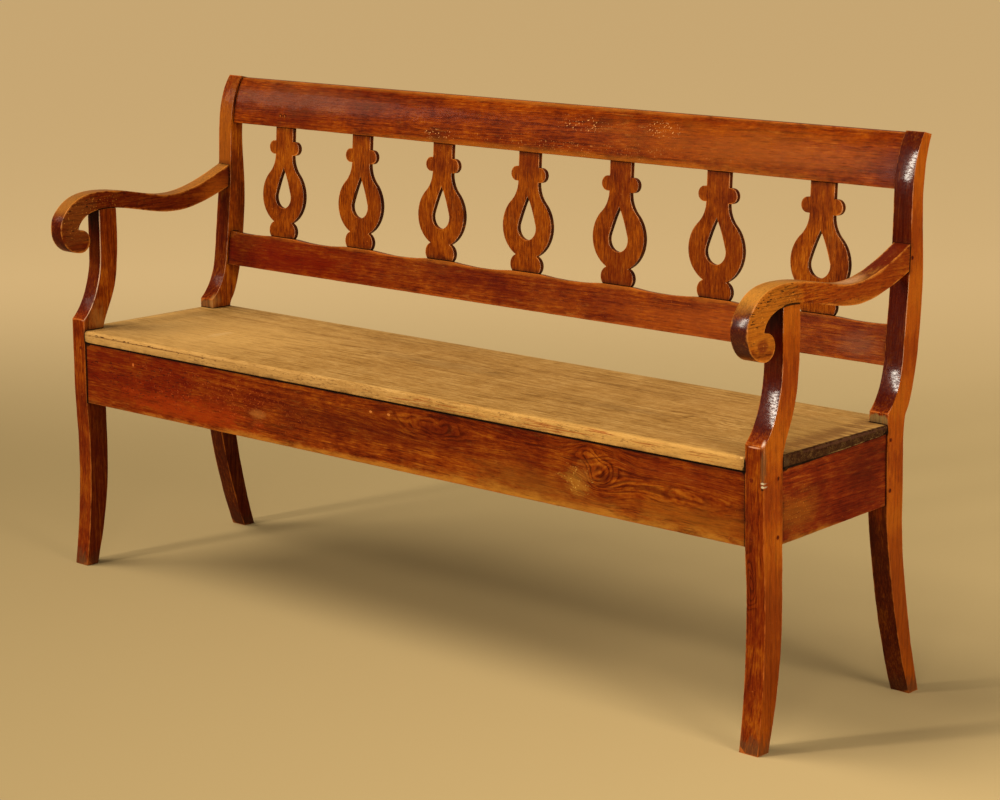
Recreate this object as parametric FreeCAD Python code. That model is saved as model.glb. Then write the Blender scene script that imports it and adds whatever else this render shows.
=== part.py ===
import FreeCAD, Part
import math
import os
from FreeCAD import Rotation, Vector

# Settle bench of joined hardwood: four sawn posts, a plank seat notched round them,
# a back of seven pierced splats between two rails, and two scroll arms.
# Millimetres. X runs along the bench, the sitter faces -Y, Z is up.
# While the pieces are made, y = 0 is the front face of the front posts at the rails.
# At the end all of them move together, so that the origin lies on the floor under the
# middle of the bench.

# Over-all sizes
bench_length = 1665.0        # over the outer faces of the posts
frame_depth = 366.0          # over the faces of the posts at the seat rails
seat_height = 460.0          # floor to the top of the plank
arm_height = 723.0           # floor to the top of the arm over its front post
back_height = 920.0          # floor to the tops of the rear posts

# Posts
post_width = 36.0            # along X, all four
front_post_depth = 47.0      # at the seat rails
rear_post_depth = 44.0       # at the seat rails
front_foot_kick = 11.5       # the foot stands this far before the post's face
front_foot_depth = 27.0
front_knee_rise = 28.0       # the front posts run straight from here over the rails' lower edge
rear_foot_kick = 70.0        # the foot's front lies this far behind the post's face
rear_foot_depth = 26.0
front_kink_rise = 21.0       # the front faces turn back this far over the seat
rear_kink_rise = 18.0
front_post_sweep = 45.0      # how far the front post steps back over the seat
upper_post_depth = 41.0      # depth of the front post under its arm
back_swell_rise = 2.0        # the front posts' backs turn out this far over the seat
rear_lean = 53.0             # how far the rear post has leaned back at arm height
rear_back_lean = 48.0        # the same on its back face
rear_curl = 91.0             # lean of its front face at its very top
rear_turn_drop = 42.0        # its back leaves the upright this far under the seat's top
rear_top_depth = 19.5
rear_top_slope = 5.0

# Seat and its rails
seat_thickness = 21.5
seat_back_overhang = 6.0     # of the plank past the backs of the rear posts
seat_nose_radius = 6.0
seat_end_radius = 4.0
seat_under_radius = 1.5
rail_height = 118.5
rail_thickness = 24.0
rail_set_back = 2.5          # rails lie this far inside the faces of the posts
side_rail_rise = 8.0         # the side rails rise this much to the rear, where the plank is thinned
side_rail_level = 55.0       # length of their top edge before it rises
bearer_width = 30.0
bearer_height = 45.0
bearer_end_space = 516.5     # post to the middle of the nearest bearer
bearer_housing = 8.0         # depth of the housings in the long rails

# Back
crest_height = 88.0
crest_drop = 4.0             # crest top under the post tops
crest_thickness = 18.0
crest_recess = 5.5           # behind the posts' front faces
crest_back_recess = 1.5
lower_rail_height = 67.5
lower_rail_thickness = 20.0
lower_rail_bottom = 545.0    # above the floor, at its front edge
lower_rail_recess = 4.5
lower_rail_tilt = 9.1        # degrees
scallop_depth = 4.0          # of the hollows in its top edge between the splats
scallop_margin = 5.0         # level edge beside each splat's foot

# Splats. The sizes from the neck to the tear's bulge are those of the pattern, which is
# enlarged or reduced to fill the space between the rails.
splat_count = 7
splat_end_space = 147.0      # post to the middle of the first splat
splat_thickness = 9.0
splat_pattern_length = 218.3
splat_neck = 48.4            # widths
splat_collar = 83.6
splat_base_foot = 62.0
splat_base = 74.0
splat_pinch = 51.0
splat_body_radius = 58.8
splat_body_height = 84.0     # centre of the round body over the lower rail
splat_base_height = 30.5
splat_base_middle = 13.0     # height of the widest place of the base
collar_height = 26.6
collar_below_crest = 27.5    # neck shown between the collar and the crest
collar_fillet = 1.0          # straight neck under the collar
tear_radius = 22.0
tear_height = 80.5           # centre of the round end over the lower rail
tear_tip = 57.5              # tip over that centre
tear_bulge = 1.2
splat_tenon_length = 12.0
splat_tenon_thickness = 6.0
splat_tenon_shoulder = 5.0

# Arms
arm_width = 32.0
arm_thickness = 34.0         # over the front post
arm_reach = 43.0             # the scroll stands this far before the front post's face
scroll_drop = 113.0          # arm top to the lowest point of the scroll
scroll_eye_radius = 22.0
scroll_eye_setback = 46.0    # middle of the scroll's eye behind the front of the scroll
scroll_eye_end = 75.0        # degrees over the level at which the eye's round face ends
crease_setback = 4.5         # the crease over the eye, before the eye's middle
crease_rise = 1.5            # and over the end of its round face

# Joints
fit = 0.1                    # clearance on each side of a tenon
tenon_thickness = 10.0
tenon_length = 20.0
tenon_shoulder = 5.0         # rail edge to tenon edge
crest_tenon_shoulder = 14.0
crest_tenon_thickness = 9.0
crest_tenon_back = 2.0       # the tenon's back inside the crest's back
lower_tenon_shoulder = 11.0
arm_tenon_thickness = 12.0
arm_tenon_height = 20.0
post_tenon_depth = 26.0
post_tenon_height = 19.0
post_tenon_root = 12.0       # its start inside the post
arm_tenon_drop = 1.5         # middle of the arm's tenon under the arm's height
peg_diameter = 7.0
peg_fit = 0.05
peg_proud = 0.4
peg_setback = 12.0           # peg centre to the shoulder of the joint
rear_peg_setback = 8.0       # the same in the rear posts' sides
peg_rise = 15.0              # lower peg over the rail's lower edge
rear_peg_rise = 24.0         # the same at the rear posts
peg_drop = 12.0              # upper peg under the rail's upper edge
rail_peg_length = 30.0
arm_peg_length = 28.0
repair_peg_spacing = 12.5    # two small pegs in the crest over the first splat
repair_peg_offset = 3.2      # their middle beside the splat's middle
repair_peg_diameter = 8.0
repair_peg_rise = 22.0
repair_peg_depth = 14.0

# Places that follow from the sizes above
half_length = bench_length / 2
inner_face = half_length - post_width
splat_pitch = 2 * (inner_face - splat_end_space) / (splat_count - 1)
rail_top = seat_height - seat_thickness
rail_bottom = rail_top - rail_height
rear_face = frame_depth - rear_post_depth
crest_top = back_height - crest_drop
crest_bottom = crest_top - crest_height
over = 5.0                   # how far a cutting tool runs past what it cuts
beyond = 200.0               # past everything that leans
touch = 0.01                 # margin for finding an edge by its place


def box(x0, x1, y0, y1, z0, z1):
    return Part.makeBox(x1 - x0, y1 - y0, z1 - z0, Vector(x0, y0, z0))


def line(start, end):
    return Part.LineSegment(Vector(0, *start), Vector(0, *end)).toShape()


def arc(start, middle, end):
    return Part.Arc(Vector(0, *start), Vector(0, *middle), Vector(0, *end)).toShape()


def sweep(points, start=None, end=None):
    """A smooth curve through (y, z) points, with a chosen direction at either end."""
    tangents = [Vector(0, 0, 0)] * len(points)
    known = [False] * len(points)
    if start:
        tangents[0], known[0] = Vector(0, *start), True
    if end:
        tangents[-1], known[-1] = Vector(0, *end), True
    curve = Part.BSplineCurve()
    places = [Vector(0, *point) for point in points]
    if start or end:
        curve.interpolate(Points=places, Tangents=tangents, TangentFlags=known)
    else:
        curve.interpolate(Points=places)
    return curve.toShape()


def prism(edges, x0, x1):
    """The solid that a saw leaves when it follows the closed outline in the YZ plane."""
    face = Part.Face(Part.Wire(edges))
    face.translate(Vector(x0, 0, 0))
    solid = face.extrude(Vector(x1 - x0, 0, 0))
    if solid.Volume < 0:
        solid.reverse()
    return solid


def straight_prism(outline, x0, x1):
    edges = [line(start, end) for start, end in zip(outline, outline[1:] + outline[:1])]
    return prism(edges, x0, x1)


def lean(shape, degrees, y, z):
    """Tilt a board that stands on the origin backwards, then stand it at (y, z)."""
    moved = shape.copy()
    moved.rotate(Vector(0, 0, 0), Vector(1, 0, 0), -degrees)
    moved.translate(Vector(0, y, z))
    return moved


def mirrored(shape):
    return shape.mirror(Vector(0, 0, 0), Vector(1, 0, 0))


def peg(x, y, z, direction, length, diameter=peg_diameter, clearance=0.0):
    """A round wooden peg driven from its head, which stands a little proud."""
    axis = Vector(*direction)
    head = Vector(x, y, z) - axis * peg_proud
    return Part.makeCylinder(diameter / 2 + clearance, length + peg_proud + clearance, head, axis)


def arm_outline_y(place):
    """Depth of a point of the arm, in shares of the way from scroll to rear post."""
    back = rear_face + rear_lean
    return -arm_reach + place * (back + arm_reach)


def arm_point(place, drop):
    return arm_outline_y(place), arm_height - drop


def arm_blank(x0, x1):
    """The arm's outline, sawn, running on into the rear post where that will trim it."""
    def under(place, sag):
        return arm_point(place, arm_thickness + sag)

    top_back = arm_point(1.06, -32.0)
    under_back = under(1.06, -22.5)
    eye_y = -arm_reach + scroll_eye_setback
    eye_z = arm_height - scroll_drop + scroll_eye_radius
    eye_low = (eye_y, eye_z - scroll_eye_radius)
    front = (-arm_reach, eye_low[1] + scroll_eye_setback)
    turn = scroll_eye_setback * math.sqrt(0.5)
    front_low = (eye_y - turn, front[1] - turn)
    eye_side = (eye_y + scroll_eye_radius, eye_z)
    eye_end = math.radians(scroll_eye_end)
    eye_top = (eye_y + scroll_eye_radius * math.cos(eye_end),
               eye_z + scroll_eye_radius * math.sin(eye_end))
    crease = (eye_y - crease_setback, eye_top[1] + crease_rise)
    top = sweep([top_back, arm_point(0.914, -4.0), arm_point(0.80, 13.0), arm_point(0.643, 23.0),
                 arm_point(0.464, 12.0), arm_point(0.255, 0.0), arm_point(0.076, 15.0),
                 arm_point(0.026, 34.0), front], end=(0.0, -1.0))
    underside = sweep([crease, under(0.118, 18.5), under(0.157, 7.0), under(0.298, 0.0),
                       under(0.55, 18.5), under(0.693, 22.5), under(0.83, 12.5), under_back])
    return prism([top, arc(front, front_low, eye_low), arc(eye_low, eye_side, eye_top),
                  line(eye_top, crease), underside, line(under_back, top_back)], x0, x1)


def front_post_outline():
    """The sawn outline of a front post: sabre foot, straight stretch at the rails, curve to the arm."""
    knee = rail_bottom + front_knee_rise
    kink = seat_height + front_kink_rise
    back = front_post_depth
    swell = seat_height + back_swell_rise
    top = arm_height - arm_thickness / 2
    full = top - kink
    step = front_post_sweep
    upper_back = step + upper_post_depth
    growth = upper_back - back
    front_foot = (-front_foot_kick, 0.0)
    back_foot = (front_foot_depth - front_foot_kick, 0.0)
    return [
        sweep([front_foot, (-0.5, knee * 0.25), (4.5, knee * 0.50), (4.0, knee * 0.76), (0, knee)],
              end=(0, 1)),
        line((0, knee), (0, kink)),
        sweep([(0, kink), (step * 0.50, kink + full * 0.13), (step * 0.845, kink + full * 0.31),
               (step, kink + full * 0.62)], end=(0, 1)),
        line((step, kink + full * 0.62), (step, top)),
        line((step, top), (upper_back, top)),
        sweep([(upper_back, top), (upper_back + 1.5, swell + 168.0),
               (back + growth * 0.97, swell + 120.0), (back + growth * 0.74, swell + 70.0),
               (back + growth * 0.36, swell + 35.0), (back, swell)]),
        line((back, swell), (back, knee)),
        sweep([(back, knee), (back + 1.0, knee * 0.66), (back - 3.0, knee * 0.41),
               (back - 14.5, knee * 0.20), back_foot], start=(0, -1)),
        line(back_foot, front_foot)]


def rear_post_outline():
    """The sawn outline of a rear post, from its sabre foot to its curled top."""
    kink = seat_height + rear_kink_rise
    back = frame_depth
    rise = back_height - seat_height
    front = rear_face
    turn = seat_height - rear_turn_drop
    knee = rail_bottom
    front_top = (front + rear_curl, back_height)
    back_top = (front_top[0] + rear_top_depth, back_height - rear_top_slope)
    front_foot = (front + rear_foot_kick, 0.0)
    back_foot = (front_foot[0] + rear_foot_depth, 0.0)
    back_lean = rear_back_lean
    return [
        sweep([front_foot, (front + rear_foot_kick * 0.57, knee * 0.29),
               (front + rear_foot_kick * 0.31, knee * 0.53),
               (front + rear_foot_kick * 0.11, knee * 0.78), (front, knee)], end=(0, 1)),
        line((front, knee), (front, kink)),
        sweep([(front, kink), (front + rear_lean * 0.52, seat_height + rise * 0.12),
               (front + rear_lean * 0.80, seat_height + rise * 0.285),
               (front + rear_lean * 0.98, seat_height + rise * 0.478),
               (front + rear_lean + 5.0, seat_height + rise * 0.696),
               (front + rear_lean + 8.5, seat_height + rise * 0.826),
               (front + rear_lean + 17.0, seat_height + rise * 0.913), front_top]),
        line(front_top, back_top),
        sweep([back_top, (back + back_lean + 3.5, seat_height + rise * 0.885),
               (back + back_lean - 3.0, seat_height + rise * 0.74),
               (back + back_lean, seat_height + rise * 0.50),
               (back + back_lean * 0.86, seat_height + rise * 0.315),
               (back + back_lean * 0.64, seat_height + rise * 0.172),
               (back + back_lean * 0.23, seat_height + rise * 0.043), (back, turn)],
              end=(0, -1)),
        line((back, turn), (back, knee)),
        sweep([(back, knee), (back + 2.5, knee * 0.78), (back + 12.0, knee * 0.56),
               (back + 27.0, knee * 0.31), back_foot], start=(0, -1)),
        line(back_foot, front_foot)]


def rear_post_front(z):
    """Where the front faces of the rear posts lie at a height."""
    across = line((rear_face - beyond, z), (frame_depth + beyond, z))
    inside = across.common(Part.Face(Part.Wire(rear_post_outline())))
    return min(vertex.Y for vertex in inside.Vertexes)


def side_tenon(grow):
    """Both tenons of a right side rail, as one bar through the rail's middle."""
    middle = half_length - rail_set_back - rail_thickness / 2
    reach = tenon_length + grow
    low = rail_bottom + tenon_shoulder - grow
    high = rail_top - tenon_shoulder + grow
    half = tenon_thickness / 2 + grow
    front = box(middle - half, middle + half, front_post_depth - reach, front_post_depth + over,
                low, high)
    rear = box(middle - half, middle + half, rear_face - over, rear_face + reach,
               low + side_rail_rise, high + side_rail_rise)
    return front, rear


def long_tenon(front_of_rail, grow):
    """Tenon of a long seat rail in its right-hand post."""
    middle = front_of_rail + rail_thickness / 2
    half = tenon_thickness / 2 + grow
    return box(inner_face - over, inner_face + tenon_length + grow, middle - half, middle + half,
               rail_bottom + tenon_shoulder - grow, rail_top - tenon_shoulder + grow)


front_rail_face = rail_set_back
rear_rail_face = frame_depth - rail_set_back - rail_thickness


def rail_peg_heights(rise, lift=0.0):
    return rail_bottom + rise + lift, rail_top - peg_drop + lift


def front_rail_pegs(grow=0.0):
    """Pegs driven from the front through the right post and the front rail's tenon."""
    x = inner_face + peg_setback
    return [peg(x, 0, z, (0, 1, 0), rail_peg_length, clearance=grow)
            for z in rail_peg_heights(peg_rise)]


def side_rail_pegs(grow=0.0):
    """Pegs driven from the right-hand end through the posts and the side rail's tenons."""
    front = [peg(half_length, front_post_depth - peg_setback, z, (-1, 0, 0), rail_peg_length,
                 clearance=grow) for z in rail_peg_heights(peg_rise)]
    rear = [peg(half_length, rear_face + rear_peg_setback, z, (-1, 0, 0), rail_peg_length,
                clearance=grow) for z in rail_peg_heights(rear_peg_rise, side_rail_rise)]
    return front + rear


def arm_tenon(grow):
    """The arm's tenon in the rear post."""
    middle = half_length - arm_width / 2
    half = arm_tenon_thickness / 2 + grow
    shoulder = rear_face + rear_lean
    centre = arm_height - arm_tenon_drop
    return box(middle - half, middle + half, shoulder - 2 * over, shoulder + tenon_length + grow,
               centre - arm_tenon_height / 2 - grow, centre + arm_tenon_height / 2 + grow)


def arm_peg(grow=0.0):
    return peg(half_length, rear_face + rear_lean + rear_peg_setback, arm_height - arm_tenon_drop,
               (-1, 0, 0), arm_peg_length, clearance=grow)


def post_tenon(grow):
    """The front post's tenon up into the arm."""
    x = half_length - arm_width / 2
    y = front_post_sweep + upper_post_depth / 2
    half = arm_tenon_thickness / 2 + grow
    under = arm_height - arm_thickness
    return box(x - half, x + half, y - post_tenon_depth / 2 - grow, y + post_tenon_depth / 2 + grow,
               under - post_tenon_root, under + post_tenon_height + grow)


def crest_band(x0, x1, inset, thickness, low, high, back_inset):
    """A bar sawn to the rear posts' own curve, set back from their front faces."""
    outline = rear_post_outline()

    def moved(offset):
        solid = prism(outline, x0, x1)
        solid.translate(Vector(0, offset, 0))
        return solid

    reach = box(x0 - over, x1 + over, rear_face, frame_depth + beyond, low, high)
    bar = moved(inset).cut(moved(inset + thickness)).common(moved(-back_inset)).common(reach)
    return bar.Solids[0]


def crest_tenon(grow):
    """The crest's tenon in the right rear post."""
    cheek = (crest_thickness - crest_tenon_thickness) / 2
    return crest_band(inner_face - over, inner_face + tenon_length + grow,
                      crest_recess + cheek - grow, crest_tenon_thickness + 2 * grow,
                      crest_bottom + crest_tenon_shoulder - grow,
                      crest_top - crest_tenon_shoulder + grow,
                      crest_back_recess + crest_tenon_back - grow)


def lower_rail_place():
    """Where the lower back rail's front lower edge lies."""
    return rear_post_front(lower_rail_bottom) + lower_rail_recess, lower_rail_bottom


def lower_tenon(grow):
    half = tenon_thickness / 2 + grow
    middle = lower_rail_thickness / 2
    bar = box(inner_face - over, inner_face + tenon_length + grow, middle - half, middle + half,
              lower_tenon_shoulder - grow, lower_rail_height - lower_tenon_shoulder + grow)
    return lean(bar, lower_rail_tilt, *lower_rail_place())


def splat_places():
    first = -(splat_count - 1) / 2 * splat_pitch
    return [first + index * splat_pitch for index in range(splat_count)]


def splat_frame():
    """Lean, foot and length of the splats, from the middles of the two rails' faces."""
    angle = math.radians(lower_rail_tilt)
    y, z = lower_rail_place()
    middle = lower_rail_thickness / 2
    foot_y = y + lower_rail_height * math.sin(angle) + middle * math.cos(angle)
    foot_z = z + lower_rail_height * math.cos(angle) - middle * math.sin(angle)
    head_y = rear_post_front(crest_bottom) + crest_recess + crest_thickness / 2
    tilt = math.degrees(math.atan2(head_y - foot_y, crest_bottom - foot_z))
    length = math.hypot(head_y - foot_y, crest_bottom - foot_z)
    return tilt, foot_y, foot_z, length


def splat_scale():
    """How many times larger than its pattern a splat is sawn."""
    return splat_frame()[3] / splat_pattern_length


def from_pattern(edges, spare=0.0):
    """A board of a splat's thickness, and more where spare, sawn to an outline of the pattern."""
    face = Part.Face(Part.Wire(edges))
    face.scale(splat_scale())
    face.translate(Vector(0, -splat_thickness / 2 - spare, 0))
    board = face.extrude(Vector(0, splat_thickness + 2 * spare, 0))
    if board.Volume < 0:
        board.reverse()
    return board


def flat(x, s):
    return Vector(x, 0, s)


def splat_half_outline():
    """Right half of the pattern's outline, from its foot up to its head, as straight and round edges."""
    neck = splat_neck / 2
    collar = splat_collar / 2
    pinch = splat_pinch / 2
    body = splat_body_radius
    centre = splat_body_height
    collar_top = splat_pattern_length - collar_below_crest
    collar_low = collar_top - collar_height
    bead = collar_height / 2
    rise = collar_low - collar_fillet - centre
    hollow = (neck ** 2 + rise ** 2 - body ** 2) / (2 * (body - neck))
    away = math.atan2(rise, neck + hollow)
    meet = flat(body * math.cos(away), centre + body * math.sin(away))
    hollow_end = flat(neck, centre + rise)
    turn = away / 2
    hollow_middle = flat(neck + hollow - hollow * math.cos(turn), centre + rise - hollow * math.sin(turn))
    base_high = splat_base_height
    sink = math.sqrt(body ** 2 - pinch ** 2)
    body_low = flat(pinch, centre - sink)
    ends_low, ends_high = -over, splat_pattern_length + over
    return [
        Part.LineSegment(flat(splat_base_foot / 2, ends_low), flat(splat_base_foot / 2, 0)),
        Part.Arc(flat(splat_base_foot / 2, 0), flat(splat_base / 2, splat_base_middle),
                 flat(pinch, base_high)),
        Part.LineSegment(flat(pinch, base_high), body_low),
        Part.Arc(body_low, flat(body, centre), meet),
        Part.Arc(meet, hollow_middle, hollow_end),
        Part.LineSegment(hollow_end, flat(neck, collar_low)),
        Part.LineSegment(flat(neck, collar_low), flat(collar - bead, collar_low)),
        Part.Arc(flat(collar - bead, collar_low), flat(collar, collar_low + bead),
                 flat(collar - bead, collar_top)),
        Part.LineSegment(flat(collar - bead, collar_top), flat(neck, collar_top)),
        Part.LineSegment(flat(neck, collar_top), flat(neck, ends_high))]


def tear_hole():
    """The drop-shaped piercing, as a cutting tool."""
    reach = math.sqrt(tear_tip ** 2 - tear_radius ** 2)
    side = math.acos(tear_radius / tear_tip)
    touch_x = tear_radius * math.sin(side)
    touch_s = tear_height + tear_radius * math.cos(side)
    tip = flat(0, tear_height + tear_tip)
    slope = math.asin(tear_radius / tear_tip)
    middle_x = touch_x / 2 + tear_bulge * math.cos(slope)
    middle_s = touch_s + reach / 2 * math.cos(slope) + tear_bulge * math.sin(slope)
    edges = [Part.Arc(flat(-touch_x, touch_s), flat(0, tear_height - tear_radius),
                      flat(touch_x, touch_s)),
             Part.Arc(flat(touch_x, touch_s), flat(middle_x, middle_s), tip),
             Part.Arc(tip, flat(-middle_x, middle_s), flat(-touch_x, touch_s))]
    return from_pattern([edge.toShape() for edge in edges], over)


def splat_tenon_bars(length, grow):
    """Foot and head tenons of a splat, standing on the origin before it leans."""
    half_neck = splat_neck * splat_scale() / 2 - splat_tenon_shoulder + grow
    half_base = splat_base_foot * splat_scale() / 2 - splat_tenon_shoulder + grow
    half = splat_tenon_thickness / 2 + grow
    foot = box(-half_base, half_base, -half, half, -splat_tenon_length - grow, over)
    head = box(-half_neck, half_neck, -half, half, length - over, length + splat_tenon_length + grow)
    return foot, head


def splat_blank():
    tilt, foot_y, foot_z, length = splat_frame()
    right = [edge.toShape() for edge in splat_half_outline()]
    left = [mirrored(edge) for edge in right]
    end = splat_pattern_length + over
    foot = Part.LineSegment(flat(-splat_base_foot / 2, -over), flat(splat_base_foot / 2, -over))
    head = Part.LineSegment(flat(-splat_neck / 2, end), flat(splat_neck / 2, end))
    board = from_pattern(Part.sortEdges(right + left + [foot.toShape(), head.toShape()])[0])
    board = lean(board.cut(tear_hole()), tilt, foot_y, foot_z)
    wide = splat_body_radius * splat_scale() + over
    above = box(-wide, wide, rear_face, frame_depth + beyond, crest_bottom, crest_top)
    below = lean(box(-wide, wide, -beyond, beyond, 0, lower_rail_height), lower_rail_tilt,
                 *lower_rail_place())
    board = board.cut(above).cut(below)
    for bar in splat_tenon_bars(length, 0.0):
        board = board.fuse(lean(bar, tilt, foot_y, foot_z))
    return board.removeSplitter().Solids[0]


def splat_mortises():
    tilt, foot_y, foot_z, length = splat_frame()
    bars = [lean(bar, tilt, foot_y, foot_z) for bar in splat_tenon_bars(length, fit)]
    cuts = []
    for x in splat_places():
        for bar in bars:
            cut = bar.copy()
            cut.translate(Vector(x, 0, 0))
            cuts.append(cut)
    return cuts


def make_front_post():
    post = prism(front_post_outline(), inner_face, half_length)
    post = post.cut(arm_blank(inner_face - over, half_length + over))
    post = post.fuse(post_tenon(0.0)).removeSplitter()
    holes = [long_tenon(front_rail_face, fit), side_tenon(fit)[0]]
    holes += front_rail_pegs(peg_fit) + side_rail_pegs(peg_fit)[:2]
    return post.cut(holes).Solids[0]


def make_rear_post():
    post = prism(rear_post_outline(), inner_face, half_length)
    holes = [long_tenon(rear_rail_face, fit), side_tenon(fit)[1], arm_tenon(fit), crest_tenon(fit),
             lower_tenon(fit), arm_peg(peg_fit)]
    holes += side_rail_pegs(peg_fit)[2:]
    return post.cut(holes).Solids[0]


def make_arm():
    arm = arm_blank(half_length - arm_width, half_length)
    arm = arm.cut(prism(rear_post_outline(), inner_face - over, half_length + over))
    arm = max(arm.Solids, key=lambda solid: solid.Volume)
    arm = arm.fuse(arm_tenon(0.0))
    return arm.removeSplitter().cut([post_tenon(fit), arm_peg(peg_fit)]).Solids[0]


def make_long_rail(front_of_rail):
    rail = box(-inner_face, inner_face, front_of_rail, front_of_rail + rail_thickness, rail_bottom,
               rail_top)
    tenon = long_tenon(front_of_rail, 0.0)
    rail = rail.fuse([tenon, mirrored(tenon)]).removeSplitter()
    if front_of_rail == front_rail_face:
        pegs = front_rail_pegs(peg_fit)
        rail = rail.cut(pegs + [mirrored(hole) for hole in pegs])
    housings = [bearer(side, fit) for side in (-1, 1)]
    return rail.cut(housings).Solids[0]


def bearer(side, grow=0.0):
    """A bearer under the seat, housed in both long rails and level with their tops."""
    x = side * (inner_face - bearer_end_space)
    half = bearer_width / 2 + grow
    high = rail_top if grow == 0 else rail_top + over
    return box(x - half, x + half, front_rail_face + rail_thickness - bearer_housing - grow,
               rear_rail_face + bearer_housing + grow, rail_top - bearer_height - grow, high)


def make_side_rail():
    x1 = half_length - rail_set_back
    outline = [(front_post_depth, rail_bottom), (rear_face, rail_bottom + side_rail_rise),
               (rear_face, rail_top + side_rail_rise),
               (front_post_depth + side_rail_level, rail_top), (front_post_depth, rail_top)]
    rail = straight_prism(outline, x1 - rail_thickness, x1)
    rail = rail.fuse(list(side_tenon(0.0))).removeSplitter()
    return rail.cut(side_rail_pegs(peg_fit)).Solids[0]


def seat_end_thinning():
    """What is planed off the underside of the plank's right end, over the rising side rail."""
    run = rear_face - front_post_depth - side_rail_level
    beyond_rise = side_rail_rise * (run + over) / run
    outline = [(front_post_depth + side_rail_level, rail_top), (rear_face + over, rail_top - over),
               (rear_face + over, rail_top + beyond_rise)]
    return straight_prism(outline, half_length - rail_set_back - rail_thickness - fit,
                          half_length + over)


def make_seat():
    """One plank, notched at its four corners round the posts, with its worn edges rounded."""
    back = frame_depth + seat_back_overhang
    plank = box(-half_length, half_length, 0, back, rail_top, seat_height)
    notches = []
    for x0, x1 in ((-half_length - over, -inner_face + fit), (inner_face - fit, half_length + over)):
        notches.append(box(x0, x1, -over, front_post_depth + fit, rail_top - over, seat_height + over))
        notches.append(box(x0, x1, rear_face - fit, back + over, rail_top - over, seat_height + over))
    thinning = seat_end_thinning()
    plank = plank.cut(notches + [thinning, mirrored(thinning)])
    top = seat_height - touch
    side = half_length - touch
    plank = rounded(plank, seat_nose_radius, lambda b: b.ZMin > top and b.YMax < touch)
    plank = rounded(plank, seat_end_radius, lambda b: b.ZMin > top and (
        b.XMin > side or b.XMax < -side or b.YMin > back - touch))
    plank = rounded(plank, seat_under_radius, lambda b: b.ZMax < rail_top + touch and b.YMax < touch)
    return plank.Solids[0]


def rounded(solid, radius, chosen):
    """Round the edges of a solid whose own box passes the test."""
    return solid.makeFillet(radius, [edge for edge in solid.Edges if chosen(edge.BoundBox)])


def make_crest():
    crest = crest_band(-inner_face, inner_face, crest_recess, crest_thickness, crest_bottom,
                       crest_top, crest_back_recess)
    tenon = crest_tenon(0.0)
    crest = crest.fuse([tenon, mirrored(tenon)]).removeSplitter()
    holes = splat_mortises()[1::2] + repair_pegs(peg_fit)
    return crest.cut(holes).Solids[0]


def repair_pegs(grow=0.0):
    """Two small pegs through the crest's face beside the first splat's tenon."""
    z = crest_bottom + repair_peg_rise
    face = rear_post_front(z) + crest_recess
    middle = splat_places()[0] - repair_peg_offset
    return [peg(middle + side * repair_peg_spacing / 2, face, z, (0, 1, 0), repair_peg_depth,
                repair_peg_diameter, grow) for side in (-1, 1)]


def make_lower_rail():
    """The lower back rail, with its top edge hollowed between the splats' feet."""
    y0 = -lower_rail_thickness / 2
    level = lower_rail_height
    land = splat_base_foot * splat_scale() / 2 + scallop_margin
    gap = splat_pitch - 2 * land
    radius = gap ** 2 / (8 * scallop_depth) + scallop_depth / 2

    def at(x, s):
        return Vector(x, 0, s)

    def hollow(x0, x1):
        dip = radius - math.sqrt(radius ** 2 - ((x1 - x0) / 2) ** 2)
        return Part.Arc(at(x0, level), at((x0 + x1) / 2, level - dip), at(x1, level)).toShape()

    places = splat_places()
    edges = [Part.LineSegment(at(inner_face, 0), at(-inner_face, 0)).toShape(),
             Part.LineSegment(at(-inner_face, 0), at(-inner_face, level)).toShape(),
             hollow(-inner_face, places[0] - land)]
    for place in places:
        edges.append(Part.LineSegment(at(place - land, level), at(place + land, level)).toShape())
        following = place + splat_pitch - land if place != places[-1] else inner_face
        edges.append(hollow(place + land, following))
    edges.append(Part.LineSegment(at(inner_face, level), at(inner_face, 0)).toShape())
    rail = Part.Face(Part.Wire(edges)).extrude(Vector(0, lower_rail_thickness, 0))
    if rail.Volume < 0:
        rail.reverse()
    rail = lean(rail, lower_rail_tilt, *lower_rail_place())
    tenon = lower_tenon(0.0)
    rail = rail.fuse([tenon, mirrored(tenon)]).removeSplitter()
    return rail.cut(splat_mortises()[0::2]).Solids[0]


def make_pieces():
    pieces = {}
    pairs = {"front_{}_post": make_front_post(), "rear_{}_post": make_rear_post(),
             "{}_arm": make_arm(), "{}_seat_rail": make_side_rail()}
    for name, solid in pairs.items():
        pieces[name.format("right")] = solid
        pieces[name.format("left")] = mirrored(solid)
    pieces["front_seat_rail"] = make_long_rail(front_rail_face)
    pieces["rear_seat_rail"] = make_long_rail(rear_rail_face)
    pieces["left_bearer"] = bearer(-1)
    pieces["right_bearer"] = bearer(1)
    pieces["seat_plank"] = make_seat()
    pieces["crest_rail"] = make_crest()
    pieces["lower_back_rail"] = make_lower_rail()
    splat = splat_blank()
    for index, x in enumerate(splat_places()):
        copy = splat.copy()
        copy.translate(Vector(x, 0, 0))
        pieces["splat_{}".format(index + 1)] = copy
    right_pegs = {"front_rail_pegs": front_rail_pegs(), "side_rail_pegs": side_rail_pegs(),
                  "arm_pegs": [arm_peg()]}
    for name, pegs in right_pegs.items():
        pieces[name] = Part.makeCompound(pegs + [mirrored(one) for one in pegs])
    pieces["crest_repair_pegs"] = Part.makeCompound(repair_pegs())
    return pieces


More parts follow.
